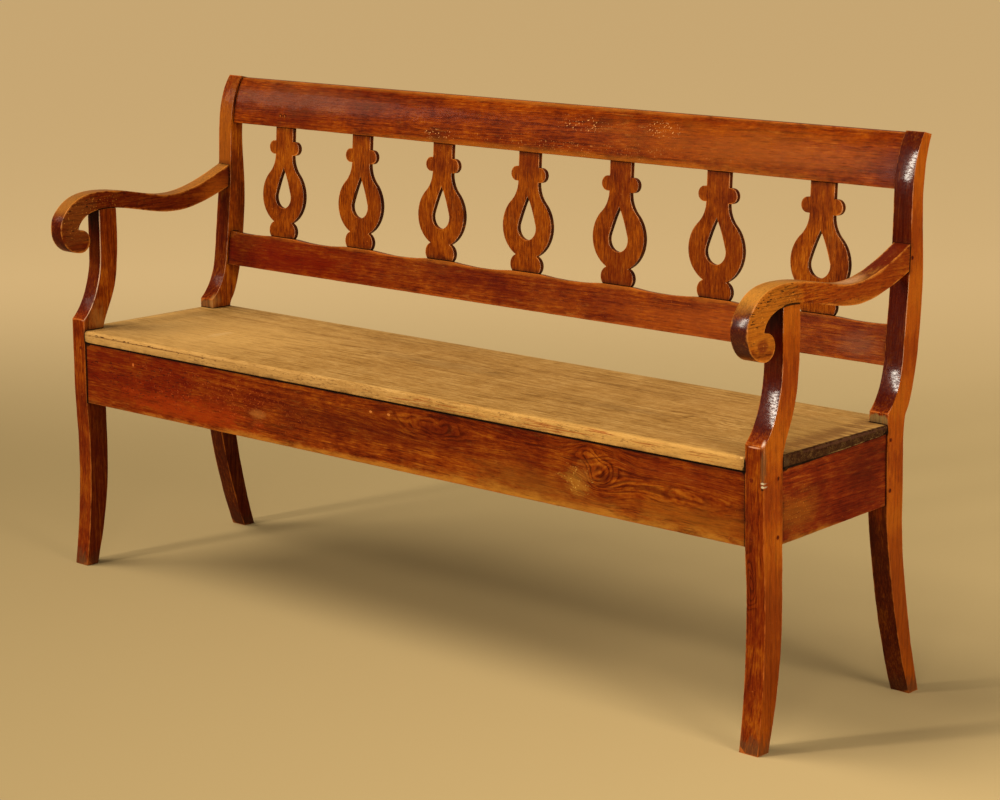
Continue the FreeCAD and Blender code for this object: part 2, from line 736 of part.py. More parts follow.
def main():
    pieces = make_pieces()
    low = min(shape.BoundBox.YMin for shape in pieces.values())
    high = max(shape.BoundBox.YMax for shape in pieces.values())
    os.makedirs("parts", exist_ok=True)
    for name, shape in sorted(pieces.items()):
        shape.translate(Vector(0, -(low + high) / 2, 0))
        shape.exportStep(os.path.join("parts", name + ".step"))
        size = shape.BoundBox
        print("{:20s} {:2d} solids, {:9.0f} mm3, x {:.1f} {:.1f}, y {:.1f} {:.1f}, z {:.1f} {:.1f}".format(
            name, len(shape.Solids), shape.Volume, size.XMin, size.XMax, size.YMin, size.YMax,
            size.ZMin, size.ZMax))
    print("front faces of the front posts at y", -(low + high) / 2)


main()
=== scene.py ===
import math
import random

import bmesh
import bpy
from mathutils import Matrix, Vector, noise as chanceField
from mathutils.bvhtree import BVHTree
from mathutils.kdtree import KDTree


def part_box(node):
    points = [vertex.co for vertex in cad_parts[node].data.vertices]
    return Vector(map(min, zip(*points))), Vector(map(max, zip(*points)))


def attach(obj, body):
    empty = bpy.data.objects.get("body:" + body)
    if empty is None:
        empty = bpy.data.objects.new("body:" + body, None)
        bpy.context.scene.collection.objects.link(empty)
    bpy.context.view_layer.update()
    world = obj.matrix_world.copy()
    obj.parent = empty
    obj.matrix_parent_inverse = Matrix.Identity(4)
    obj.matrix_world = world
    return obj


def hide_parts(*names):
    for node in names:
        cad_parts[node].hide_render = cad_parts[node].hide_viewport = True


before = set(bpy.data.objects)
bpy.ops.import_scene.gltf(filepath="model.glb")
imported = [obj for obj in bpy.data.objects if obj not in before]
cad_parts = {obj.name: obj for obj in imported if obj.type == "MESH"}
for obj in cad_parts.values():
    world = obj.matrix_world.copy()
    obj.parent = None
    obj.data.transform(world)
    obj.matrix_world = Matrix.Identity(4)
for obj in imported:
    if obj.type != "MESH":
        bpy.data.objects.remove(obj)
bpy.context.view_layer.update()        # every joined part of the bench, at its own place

# An old settle bench of polished hardwood with a worn, paler seat plank. Metres throughout.
# Each piece but the pegs is a copy of the clean one with softened arrises, old damage and its
# own run of grain, and it stays exactly where the clean one is.

print("frame loaded:", len(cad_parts), "nodes")


# Shader wires

class Wire:
    # one output of a material's tree; arithmetic on wires adds Math nodes
    def __init__(self, tree, socket=None):
        self.tree = tree
        self.socket = socket

    def node(self, kind, settings=None, inputs=None, output=0):
        made = self.tree.nodes.new("ShaderNode" + kind)
        for key, value in (settings or {}).items():
            if key == "stops":
                fillRamp(made.color_ramp, value)
            else:
                setattr(made, key, value)
        for key, value in (inputs or {}).items():
            if isinstance(value, Wire):
                self.tree.links.new(value.socket, made.inputs[key])
            else:
                made.inputs[key].default_value = value
        return Wire(self.tree, made.outputs[output] if made.outputs else None)

    def maths(self, operation, *values):
        return self.node("Math", {"operation": operation}, dict(enumerate(values)))

    def __add__(self, other):
        return self.maths("ADD", self, other)

    def __radd__(self, other):
        return self.maths("ADD", other, self)

    def __sub__(self, other):
        return self.maths("SUBTRACT", self, other)

    def __rsub__(self, other):
        return self.maths("SUBTRACT", other, self)

    def __mul__(self, other):
        return self.maths("MULTIPLY", self, other)

    def __rmul__(self, other):
        return self.maths("MULTIPLY", other, self)

    def __truediv__(self, other):
        return self.maths("DIVIDE", self, other)

    def __rtruediv__(self, other):
        return self.maths("DIVIDE", other, self)


def fillRamp(ramp, stops):
    while len(ramp.elements) < len(stops):
        ramp.elements.new(1.0)
    for element, (place, colour) in zip(ramp.elements, stops):
        element.position = place
        element.color = shade(*colour)


def shade(red, green, blue):
    # a colour as a screen shows it, 0 to 255, turned into the renderer's own scale
    def linear(value):
        value = value / 255
        return value / 12.92 if value <= 0.04045 else ((value + 0.055) / 1.055) ** 2.4
    return (linear(red), linear(green), linear(blue), 1.0)


def between(value, low, high):
    # 0 under low, 1 over high, and smooth in between
    return value.node("MapRange", {"interpolation_type": "SMOOTHSTEP"},
                      {"Value": value, "From Min": low, "From Max": high})


def blended(factor, first, second):
    first, second = (shade(*colour) if isinstance(colour, tuple) else colour
                     for colour in (first, second))
    return factor.node("Mix", {"data_type": "RGBA"}, {0: factor, 6: first, 7: second}, 2)


def noise(place, scale, detail=2.0, roughness=0.5, output=0):
    return place.node("TexNoise", None, {"Vector": place, "Scale": scale, "Detail": detail,
                                         "Roughness": roughness}, output)


def vectorMaths(operation, first, second, output=0):
    return first.node("VectorMath", {"operation": operation}, {0: first, 1: second}, output)


def facingOf(outward, way):
    return vectorMaths("DOT_PRODUCT", outward, way, 1)


def split(vector):
    # a vector's three numbers, each as a wire
    apart = vector.node("SeparateXYZ", None, {"Vector": vector})
    return [Wire(vector.tree, output) for output in apart.socket.node.outputs]


# Wood

grainTurns = {"X": (0.0, 0.0, 0.0), "Y": (0.0, 0.0, -math.pi / 2), "Z": (0.0, math.pi / 2, 0.0)}
towardsFront, towardsRight, towardsLeft, upwards = (0, -1, 0), (1, 0, 0), (-1, 0, 0), (0, 0, 1)
towardsLight = (0.707, -0.707, 0.0)
anywhere = (2.0, 2.0, 2.0)       # metres, more than the whole piece

grainNoises = {                  # per metre along the grain and across it, detail, roughness
    "bend": (1.3, 8.0, 2.0, 0.5),
    "wander": (5.0, 45.0, 3.0, 0.5),
    "broad": (2.6, 85.0, 5.0, 0.62),
    "fine": (10.0, 400.0, 3.0, 0.6),
    "dashes": (55.0, 460.0, 2.0, 0.6),
    "pores": (34.0, 800.0, 1.0, 0.5),
    "blotch": (2.6, 9.0, 4.0, 0.6),
    "thin": (4.5, 14.0, 5.0, 0.66),
    "gold": (32.0, 170.0, 4.0, 0.65),
    "rag": (18.0, 60.0, 6.0, 0.72),
    "specks": (330.0, 330.0, 1.0, 0.5),
    "pits": (100.0, 330.0, 1.0, 0.5),
    "veins": (8.0, 420.0, 2.0, 0.5),
    "scratches": (9.0, 330.0, 1.0, 0.5),
    "scuff": (460.0, 130.0, 3.0, 0.65),
    "swell": (6.0, 20.0, 2.0, 0.5),
    "ruffle": (300.0, 130.0, 2.0, 0.5),
    "ripple": (26.0, 330.0, 2.0, 0.5)}
reliefDepths = {"swell": 0.0006, "ring": 0.00004, "scratch": 0.00012, "pit": 0.0003}  # metres
knotDrift = 0.026                # metres, how far a knot strays from a plain oval

polishedWood = {
    "ringWidth": 0.0085,         # metres from one year's ring to the next
    "ringWarp": 0.034,
    "ringShare": 0.12,
    "pith": (0.075, 0.055),      # heart of the tree from the piece's own middle
    "taper": 0.012,
    "dark": (50, 11, 2),
    "deep": (102, 31, 3),
    "warm": (142, 60, 6),
    "pale": (180, 98, 16),
    "blotch": (84, 15, 5),
    "glow": (166, 88, 22),       # where the varnish is thin
    "glowShare": 0.30,
    "fleck": (190, 120, 44),
    "fleckShare": 0.35,
    "wornArris": (184, 98, 34),
    # dirt and painted shade beside the joints
    "grimeAndShade": (30, 11, 6),
    # the dark joint line between pieces, with painted shadow in the gap
    "seamShade": (12, 5, 3),
    "seamShadeWidth": 0.0022,
    "blotchShare": 0.5,
    "arrisWidth": 0.0026,
    "arrisStrength": 0.8,
    "tone": 0.50,                # higher is darker
    "mottle": 1.0,
    "fibre": 1.0,                # contrast of the thin lines along the grain
    "streaks": 0.18,
    "poreShare": 0.50,
    "roughness": 0.32,
    "specular": 0.035,
    "coat": 0.045,
    "polishCoat": 0.55,          # where hands and cloths have polished it most
    "coatRoughness": 0.11,
    "scuff": 0.85,               # how far fine scratches break up the polish
    "ruffle": 0.00007,           # metres, fine unevenness that breaks up a highlight
    "ripple": 0.00009,           # metres, how far pores and lines along the grain are felt
    "scratches": 0.4,
    "patches": (),
    "specks": (),
    "pits": (),
    "veins": (),
    "knots": (),
    "clear": 0.0,                # 1 on a piece that has no wear attributes
    "polish": (),
    "glints": (),                # painted highlights where the arris faces the light
    "marks": (),                 # patches laid over the wear
}


def grainNoise(run, name, output=0):
    along, across, detail, roughness = grainNoises[name]
    return noise(stretched(run, along, across), 1.0, detail, roughness, output)


def stretched(place, along, across):
    return vectorMaths("MULTIPLY", place, (along, across, across))


def patch(colour, share, middle, size, soft=0.6, ragged=0.5, facing=None):
    # an oval of another colour, given in metres on the piece, with a soft and ragged rim
    return {"colour": colour, "share": share, "middle": middle, "size": size, "soft": soft,
            "ragged": ragged, "facing": facing}


def oval(place, middle, size):
    # 0 in the middle and 1 on the rim
    away = vectorMaths("SUBTRACT", place, middle)
    return vectorMaths("LENGTH", vectorMaths("DIVIDE", away, size), (0.0, 0.0, 0.0), 1)


def covered(surface, spot):
    # how far a patch covers the place, from 0 to 1
    place, outward, rag = surface
    away = oval(place, spot["middle"], spot["size"]) + (rag - 0.5) * (spot["ragged"] * 3)
    mask = 1.0 - between(away, 1.0 - spot["soft"], 1.0)
    if spot["facing"]:
        mask = mask * between(facingOf(outward, spot["facing"]), 0.42, 0.72)
    return mask


def aroundKnots(place, knots):
    # the grain parts round a knot: heights are drawn towards its middle
    for (x, y, z), size, rings, share in knots:
        near = 1.0 - between(oval(place, (x, y, z), size), 0.3, 2.4)
        move = place.node("CombineXYZ", None, {"Z": (z - split(place)[2]) * near * 0.8})
        place = vectorMaths("ADD", place, move)
    return place


def yearRings(own, local, run, look):
    # rings round the heart of the tree, bent by slow noise, plain in one place, bold in another
    bendAcross, bendThrough, boldness = split(grainNoise(run, "bend", 1))
    along, across, through = split(local)
    across = across - look["pith"][0] + (bendAcross - 0.5) * look["ringWarp"]
    through = through - look["pith"][1] + (bendThrough - 0.5) * look["ringWarp"]
    radius = own.maths("SQRT", across * across + through * through)
    years = radius / look["ringWidth"] + along * (look["taper"] / look["ringWidth"]) \
        + grainNoise(run, "wander") * 1.5
    # a knot is a hill in the years, so that the rings close round it and part beside it
    drift = vectorMaths("SUBTRACT", noise(own, 24.0, 1.0, 0.5, 1), (0.5,) * 3)
    loose = vectorMaths("ADD", own, vectorMaths("MULTIPLY", drift, (knotDrift,) * 3))
    knotty = 0.0
    for middle, size, rings, share in look["knots"]:
        away = oval(loose, middle, size)
        years = years + (1.0 - between(away, 0.0, 1.25)) * rings
        knotty = (1.0 - between(away, 0.7, 2.0)) * share + knotty
    phase = own.maths("FRACT", years)
    ring = between(phase, 0.34, 0.84) * (1.0 - between(phase, 0.90, 1.0))
    figure = 0.25 + between(boldness, 0.42, 0.62) * 0.75 + knotty
    return ring, figure, knotty


def woodFinish(name, grain, seed, **changes):
    look = dict(polishedWood, **changes)
    material = bpy.data.materials.new(name)
    material.use_nodes = True
    material.node_tree.nodes.clear()
    root = Wire(material.node_tree)
    chance = random.Random(seed)
    shift = tuple(chance.uniform(3.0, 9.0) for axis in range(3))
    tilt = tuple(turn + chance.uniform(-0.02, 0.02) for turn in grainTurns[grain])
    own = root.node("TexCoord", output=3)
    outward = root.node("TexCoord", output=1)
    place = aroundKnots(own, look["knots"])
    if look.get("shiftAttribute"):
        moved = root.node("Attribute", {"attribute_name": look["shiftAttribute"]}, output=1)
        place = vectorMaths("ADD", place, moved)
    local = root.node("Mapping", None, {"Vector": place, "Rotation": tilt,
                                        "Location": look.get("centre", (0.0, 0.0, 0.0))})
    run = vectorMaths("ADD", local, shift)
    ring, figure, knotty = yearRings(own, local, run, look)

    # grain and pores
    broad, fine, dashes = (grainNoise(run, key) for key in ("broad", "fine", "dashes"))
    pores = between(grainNoise(run, "pores"), 0.60, 0.74)
    blotch = between(grainNoise(run, "blotch"), 0.44, 0.70)
    thin = between(grainNoise(run, "thin"), 0.50, 0.68)
    gold = between(grainNoise(run, "gold"), 0.54, 0.70)
    cloud = noise(run, 15.0, 6.0, 0.70)
    rub = noise(run, 34.0, 4.0, 0.62)
    tone = look["tone"] + (ring - 0.5) * figure * look["ringShare"] + (broad - 0.5) * 0.50 \
        + ((fine - 0.5) * 0.62 + (dashes - 0.5) * 0.66) * look["fibre"] \
        + (cloud - 0.5) * look["mottle"]
    colour = root.node("ValToRGB", {"stops": [(0.16, look["pale"]), (0.42, look["warm"]),
                                              (0.66, look["deep"]), (0.95, look["dark"])]},
                       {"Fac": tone})
    colour = blended(blotch * look["blotchShare"], colour, look["blotch"])
    colour = blended(thin * (fine * 1.6 - 0.3) * look["glowShare"], colour, look["glow"])
    colour = blended(gold * (0.25 + thin * 0.75) * look["fleckShare"], colour, look["fleck"])

    # patches of other tones, then the dark lines over them
    surface = (own, outward, grainNoise(run, "rag"))
    uneven = 0.20 + fine * 0.5 + dashes * 0.4 + broad * 0.7
    for spot in look["patches"]:
        colour = blended(covered(surface, spot) * uneven * spot["share"], colour, spot["colour"])
    streak = between((fine - 0.5) * 0.8 + (dashes - 0.5) * 0.6 + (broad - 0.5) * 0.8 + 0.5
                     + (ring - 0.5) * figure * 1.5 * look["ringShare"], 0.50, 0.76)
    colour = blended(streak * look["streaks"], colour, look["dark"])
    late = ring * (figure * look["ringShare"] * 0.8 + knotty * 0.55) \
        * between(dashes + cloud, 0.72, 1.18)
    colour = blended(late, colour, look["dark"])
    colour = blended(pores * look["poreShare"], colour, look["dark"])

    # specks, pits and veins, only where the piece asks for them
    hollow = 0.0
    for kind, low, high in (("specks", 0.655, 0.70), ("pits", 0.61, 0.67), ("veins", 0.55, 0.63)):
        for spot in look[kind]:
            field = grainNoise(own if kind == "specks" else run, kind)
            mask = between(field, low, high) * covered(surface, spot)
            colour = blended(mask * spot["share"], colour, spot["colour"])
            if kind == "pits":
                hollow = mask + hollow

    # wear and painted light: arrises rubbed pale, painted highlights on arrises towards the light,
    # dirt and painted shade beside the joints, scratches
    arris, joint = (root.node("Attribute", {"attribute_name": key}, output=2) + look["clear"]
                    for key in ("arris", "joint"))
    width = look["arrisWidth"] * (rub * 3.2 - 0.75)
    worn = (1.0 - between(arris, 0.0, width)) * look["arrisStrength"] * between(rub, 0.36, 0.54)
    colour = blended(worn, colour, look["wornArris"])
    # painted highlight: the rounded arris turned towards the light is painted bright
    edge = between(facingOf(outward, towardsLight), 0.75, 0.88) \
        * (1.0 - between(arris, 0.0012, 0.0036)) * between(rub, 0.30, 0.46)
    for spot in look["glints"]:
        colour = blended(edge * covered(surface, spot) * spot["share"], colour, spot["colour"])
    # dirt and painted shade: darker close to other pieces
    dirtAndShade = (1.0 - between(joint, 0.0006, 0.010)) * between(cloud + rub, 0.75, 1.25)
    colour = blended(dirtAndShade * 0.6, colour, look["grimeAndShade"])
    # the joint line itself: a dark joint and painted shadow in the gap
    seamShade = (1.0 - between(joint, look["seamShadeWidth"] * 0.5, look["seamShadeWidth"])) \
        * between(rub, 0.20, 0.42)
    colour = blended(seamShade * 0.9, colour, look["seamShade"])
    for spot in look["marks"]:
        share = spot["share"] * (0.7 + fine * 0.6)
        colour = blended(covered(surface, spot) * share, colour, spot["colour"])
    turned = root.node("Mapping", None, {"Vector": run, "Rotation": (0.5, 0.7, 0.9)})
    scratch = between(grainNoise(turned, "scratches"), 0.735, 0.76) \
        * between(noise(run, 9.0, 1.0), 0.52, 0.66) * look["scratches"]
    colour = blended(scratch, colour, look["wornArris"])

    # relief in metres, read by one Bump, then the gloss and the polish over it
    relief = grainNoise(run, "swell") * reliefDepths["swell"] \
        + grainNoise(run, "ruffle") * look["ruffle"] \
        + (grainNoise(run, "ripple") - pores) * look["ripple"] \
        - ring * reliefDepths["ring"] - scratch * reliefDepths["scratch"] \
        - hollow * reliefDepths["pit"]
    normal = root.node("Bump", None, {"Strength": 1.0, "Distance": 1.0, "Height": relief})
    gloss = look["roughness"] + pores * 0.12 + dirtAndShade * 0.25 + seamShade * 0.3 + (cloud - 0.5) * 0.30 \
        + (rub - 0.5) * 0.20 + scratch * 0.2
    coat = look["coat"]
    kept = 1.0 - look["scuff"] + between(grainNoise(run, "scuff"), 0.44, 0.56) * look["scuff"]
    for spot in look["polish"]:
        coat = covered(surface, spot) * kept * (look["polishCoat"] * spot["share"]) + coat
    finish = root.node("BsdfPrincipled", None, {
        "Base Color": colour, "Roughness": gloss, "Normal": normal,
        "Specular IOR Level": look["specular"], "Coat Weight": coat,
        "Coat Roughness": look["coatRoughness"]})
    root.node("OutputMaterial", None, {"Surface": finish})
    return material


# Worn copies of the clean solids

surfaces = {}
for nodeName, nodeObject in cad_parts.items():
    points = [vertex.co.copy() for vertex in nodeObject.data.vertices]
    polygons = [tuple(polygon.vertices) for polygon in nodeObject.data.polygons]
    surfaces[nodeName] = (BVHTree.FromPolygons(points, polygons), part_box(nodeName))

sharpTurn = math.radians(28)     # an edge that turns more is an arris
softTurn = math.radians(38)      # how far a softened arris blends into a face
looseTurn = math.radians(50)
touchGap = 0.0005                # metres, closer than this another piece covers the edge
jointReach = 0.014               # metres, how far the dirt of a joint is measured
clearance = 0.002                # metres from another piece, inside which nothing is dented
arrisStep = 0.002                # metres between the points that stand for an arris
dentReach = 1.3                  # dents go this many widths of the arris into the faces
dentScale, chipScale = 38.0, 300.0


def gapToOthers(point, node, reach, pegs=False):
    # metres to the nearest other piece, and the pegs count only when asked for
    nearest = reach
    for other, (tree, (low, high)) in surfaces.items():
        if other == node or other.endswith("pegs") and not pegs:
            continue
        if any(point[i] < low[i] - reach or point[i] > high[i] + reach for i in range(3)):
            continue
        found = tree.find_nearest(point, nearest)
        if found[0] is not None:
            nearest = min(nearest, found[3])
    return nearest


def exposed(edge, node):
    # an edge that another piece covers isn't worn
    a, b = (vertex.co for vertex in edge.verts)
    hidden = sum(gapToOthers(a.lerp(b, share), node, touchGap * 1.2, True) < touchGap
                 for share in (0.2, 0.5, 0.8))
    return hidden < 2


def cleanMesh(node):
    shape = bmesh.new()
    shape.from_mesh(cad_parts[node].data)
    bmesh.ops.remove_doubles(shape, verts=shape.verts[:], dist=2e-6)
    bmesh.ops.dissolve_limit(shape, angle_limit=math.radians(0.3), verts=shape.verts[:],
                             edges=shape.edges[:])
    return shape


def softNormals(shape, rounded, crown):
    # flat faces stay flat to the eye, or a little crowned across, and the softened arrises turn
    layer = shape.loops.layers.float_vector.new("softNormal")
    low = min(vertex.co.x for vertex in shape.verts)
    high = max(vertex.co.x for vertex in shape.verts)
    for vertex in shape.verts:
        tilt = Vector((crown * (2 * (vertex.co.x - low) / (high - low) - 1), 0.0, 0.0))
        for loop in vertex.link_loops:
            own = loop.face
            plain = [other.face for other in vertex.link_loops if other.face not in rounded]
            limit = softTurn if own in rounded else sharpTurn
            near = [face for face in plain if face.normal.angle(own.normal, 4.0) < limit]
            if not near:
                near = [other.face for other in vertex.link_loops
                        if other.face.normal.angle(own.normal, 4.0) < looseTurn]
            total = Vector((0.0, 0.0, 0.0))
            for face in near:
                bulged = face.normal + tilt * (1.0 - abs(face.normal.x))
                total += bulged * (1.0 if own in rounded else face.calc_area())
            loop[layer] = (total or own.normal).normalized()
    return layer


def cut(shape, axis, step):
    # slices across the piece, so that a flat face has corners for its dents
    low = min(vertex.co[axis] for vertex in shape.verts)
    high = max(vertex.co[axis] for vertex in shape.verts)
    normal = Vector((0.0, 0.0, 0.0))
    normal[axis] = 1.0
    for index in range(1, int((high - low) / step) + 1):
        place = Vector((0.0, 0.0, 0.0))
        place[axis] = low + index * step
        bmesh.ops.bisect_plane(shape, geom=shape.verts[:] + shape.edges[:] + shape.faces[:],
                               dist=1e-6, plane_co=place, plane_no=normal)


def batter(shape, layer, node, arrisTree, wear):
    # softened arrises wander inwards a little, and knocks take chips out of them
    shape.normal_update()
    chipped = set()
    moves = []
    for vertex in shape.verts:
        if arrisTree.find(vertex.co)[2] > wear["arris"] * dentReach:
            continue
        depth = wear["dents"] * max(0.0, chanceField.noise(vertex.co * dentScale) + 0.1)
        for middle, reach, deep in wear.get("knocks", ()):
            away = (vertex.co - Vector(middle)).length / reach
            if away < 1.0:
                rough = 0.7 + chanceField.noise(vertex.co * chipScale)
                depth += deep * (1.0 - away * away) * rough
                chipped.add(vertex)
        if gapToOthers(vertex.co, node, clearance) >= clearance:
            moves.append((vertex, vertex.normal * -max(depth, 0.0)))
    for vertex, move in moves:
        vertex.co += move
    shape.normal_update()
    for vertex in chipped:
        for loop in vertex.link_loops:
            loop[layer] = loop.face.normal


def wornCopy(node, wear):
    shape = cleanMesh(node)
    arrises = [edge for edge in shape.edges if len(edge.link_faces) == 2 and edge.is_convex
               and edge.calc_face_angle(0.0) > sharpTurn and exposed(edge, node)]
    samples = []
    for edge in arrises:
        a, b = (vertex.co.copy() for vertex in edge.verts)
        count = max(1, int((b - a).length / arrisStep))
        samples += [a.lerp(b, (index + 0.5) / count) for index in range(count)]
    made = bmesh.ops.bevel(shape, geom=arrises, offset=wear["arris"], offset_type="OFFSET",
                           segments=3, profile=0.5, affect="EDGES", clamp_overlap=True,
                           loop_slide=True)
    rounded = set(made["faces"])
    shape.normal_update()
    layer = softNormals(shape, rounded, wear.get("crown", 0.0))
    for axis, step in enumerate(wear["cells"]):
        if step:
            cut(shape, axis, step)
    tree = KDTree(len(samples))
    for index, point in enumerate(samples):
        tree.insert(point, index)
    tree.balance()
    if samples:
        batter(shape, layer, node, tree, wear)
    normals = [tuple(loop[layer].normalized()) for face in shape.faces for loop in face.loops]
    shape.loops.layers.float_vector.remove(layer)
    mesh = bpy.data.meshes.new("worn_" + node)
    shape.to_mesh(mesh)
    shape.free()
    for polygon in mesh.polygons:
        polygon.use_smooth = True
    mesh.normals_split_custom_set(normals)
    arris = mesh.attributes.new("arris", "FLOAT", "POINT")
    joint = mesh.attributes.new("joint", "FLOAT", "POINT")
    for index, vertex in enumerate(mesh.vertices):
        arris.data[index].value = tree.find(vertex.co)[2] if samples else 1.0
        joint.data[index].value = gapToOthers(vertex.co, node, jointReach)
    piece = bpy.data.objects.new(mesh.name, mesh)
    bpy.context.scene.collection.objects.link(piece)
    return piece


def settle(piece, slot, *nodes):
    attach(piece, "root")
    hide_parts(*nodes)


# Posts

postWear = {"arris": 0.0018, "dents": 0.0007, "cells": (0.012, 0.012, 0.010), "crown": 0.06}
postPlaces = {"side": 0.8145, "frontKink": 0.484, "rearKink": 0.470, "underArm": 0.70}
postLook = {"streaks": 0.26, "fibre": 1.4, "mottle": 1.35, "fleckShare": 0.42, "ruffle": 0.00022}
postTones = {"front": (100, 28, 4), "frontHigh": (62, 9, 0), "right": (176, 84, 13),
             "left": (92, 28, 7), "foot": (84, 60, 36), "dirty": (126, 104, 60),
             "filler": (206, 194, 160), "facet": (98, 70, 42),
             "shadow": (70, 12, 4), "golden": (160, 90, 24), "ruddy": (128, 46, 9),
             "amber": (188, 104, 20), "unlit": (22, 4, 3),
             "glint": (238, 200, 168), "lowGlint": (188, 112, 50),
             "backLeg": (52, 15, 6), "legSide": (100, 30, 5),
             "rubbed": (164, 104, 44)}


def band(colour, share, middle, reach, soft=0.6, ragged=0.5, facing=None):
    # a patch over a post's whole width, from reach under its middle to reach over it
    return patch(colour, share, middle, (2, 2, reach), soft, ragged, facing)


def postPatches(x, rear):
    # painted light and shade, partly the wood's own darker tone above the kinks:
    # front faces are darker, most above the kinks; the faces to the right are a brighter brown
    tone = postTones
    kink, top = postPlaces["rearKink" if rear else "frontKink"], postPlaces["underArm"]
    bright = (0.74 if rear else 0.54) if x > 0 else 0.10
    spots = [band(tone["front"], 0.45 if x > 0 else 0.40, (x, 0, 0.45), 2, facing=towardsFront),
             band(tone["right"], bright, (x, 0, 0.45), 2, facing=towardsRight),
             band(tone["left"], 0.5, (x, 0, 0.45), 2, facing=towardsLeft),
             band(tone["frontHigh"], 0.92 if x > 0 else 0.65, (x, 0, (kink + top) / 2),
                  (top - kink) / 2, 0.2, 0.05, towardsFront),
             band(tone["foot"], 0.65, (x, 0, 0.0), 0.040, 0.8, 1.2)]
    if rear:
        spots += [patch(tone["dirty"], 0.80 if x > 0 else 0.40, (x, 0.128, 0.467),
                        (0.03, 0.03, 0.011), 0.4, 0.6, towardsFront),
                  # painted shade: the rear legs' front faces under the seat are painted darker
                  band(tone["backLeg"], 0.75, (x, 0.15, 0.12), 0.24, 0.3, 0.3, towardsFront)]
    else:
        spots.append(band(tone["unlit"], 0.85, (x, -0.14, 0.69), 0.075, 0.8, 0.3, towardsFront))
    if rear and x > 0:
        spots.append(band(tone["frontHigh"], 0.90, (x, 0.2, 0.83), 0.12, 0.3, 0.2, towardsFront))
    if rear and x < 0:
        spots.append(band(tone["golden"], 0.55, (x, 0.2, 0.80), 0.14, 0.6, 0.8, towardsFront))
    if x > 0:
        # painted shade: the right-hand faces of the lower legs, under the seat, are painted darker
        spots.append(band(tone["legSide"], 0.45, (x, 0, 0.15), 0.20, 0.7, 0.3, towardsRight))
        for key, share, places in (
                ("ruddy", 0.60, ((0.40, 0.050), (0.57, 0.045), (0.76, 0.050))),
                ("amber", 0.40, ((0.31, 0.040), (0.49, 0.040), (0.67, 0.045), (0.87, 0.050)))):
            spots += [band(tone[key], share, (x, 0, height), reach, 0.9, 1.5, towardsRight)
                      for height, reach in places]
    else:
        spots += [band(tone["shadow"], 0.75, (x, 0, 0.16), 0.22, 0.5, 0.2, towardsRight),
                  patch(tone["rubbed"], 0.80, (x, -0.16, 0.480), (0.03, 0.07, 0.050), 0.8, 1.0,
                        towardsRight)]
    return spots


def postPolish(x, rear):
    # share on the right and on the left, middle, reach up and down, ragged
    places = [(1.0, 0.20, (x, 0.15, 0.56), 0.10, 0.3), (1.0, 0.05, (x, 0.2, 0.85), 0.10, 0.2)] \
        if rear else [(1.0, 0.10, (x, -0.16, 0.54), 0.075, 0.3)]
    return [patch(None, onRight if x > 0 else onLeft, middle, (2, 0.1, reach), 0.4, ragged,
                  towardsFront) for onRight, onLeft, middle, reach, ragged in places]


def postGlints(x, rear):
    # the long arris between front and right face shines above the seat and hardly below it
    above = [band(postTones["glint"], 0.95 if x > 0 else 0.70, (x, 0, 0.60), 0.15, 0.3, 0.3),
             band(postTones["glint"], 0.55, (x, 0, 0.84), 0.10, 0.3, 0.6)]
    below = [band(postTones["lowGlint"], 0.35, (x, 0, 0.24), 0.22, 0.3, 1.0)]
    return above[:2 if rear else 1] + below


# the chipped and filled arris of the front right post, and the glints on its kink
rightFacet = [patch(postTones["facet"], 0.65, (0.8295, -0.1945, 0.447), (0.0055, 0.010, 0.038),
                    0.6, 0.8),
              patch((52, 24, 12), 0.65, (0.8258, -0.1945, 0.452), (0.0013, 0.010, 0.034),
                    0.5),
              # painted highlights: a pale glint where the arris meets the kink, and a pale line
              # along the kink's edge
              patch((232, 206, 184), 0.75, (0.8285, -0.1960, 0.4890),
                    (0.0040, 0.010, 0.0110), 0.6, 0.6),
              patch((230, 168, 132), 0.70, (0.8135, -0.1950, 0.4778),
                    (0.0140, 0.008, 0.0016), 0.5, 0.3),
              patch(postTones["filler"], 0.85, (0.8295, -0.1945, 0.4245),
                    (0.0040, 0.012, 0.0019), 0.5),
              patch(postTones["filler"], 0.90, (0.8300, -0.1945, 0.4190),
                    (0.0036, 0.012, 0.0022), 0.5),
              patch((24, 12, 8), 0.85, (0.8290, -0.1945, 0.4150),
                    (0.0032, 0.012, 0.0018), 0.5)]
leftFoot = [patch((188, 134, 68), 0.45, (-0.797, 0.130, 0.476), (0.012, 0.024, 0.022),
                  0.9, 0.6)]
kneeKnot = [((0.803, -0.195, 0.262), (0.016, 1.0, 0.050), 4.0, 0.7)]
posts = {"front_left_post": (False, [], []), "front_right_post": (False, rightFacet, kneeKnot),
         "rear_left_post": (True, leftFoot, []), "rear_right_post": (True, [], [])}
for index, (node, (rear, marks, knots)) in enumerate(posts.items()):
    x = postPlaces["side"] if "right" in node else -postPlaces["side"]
    post = wornCopy(node, postWear)
    post.data.materials.append(woodFinish(
        "polished " + node.replace("_", " "), "Z", 11 + index, centre=(0.0, -x, 0.0),
        patches=postPatches(x, rear), marks=marks, polish=postPolish(x, rear),
        glints=postGlints(x, rear), knots=knots, **postLook))
    settle(post, "post_wood", node)
print("posts done")

# Arms

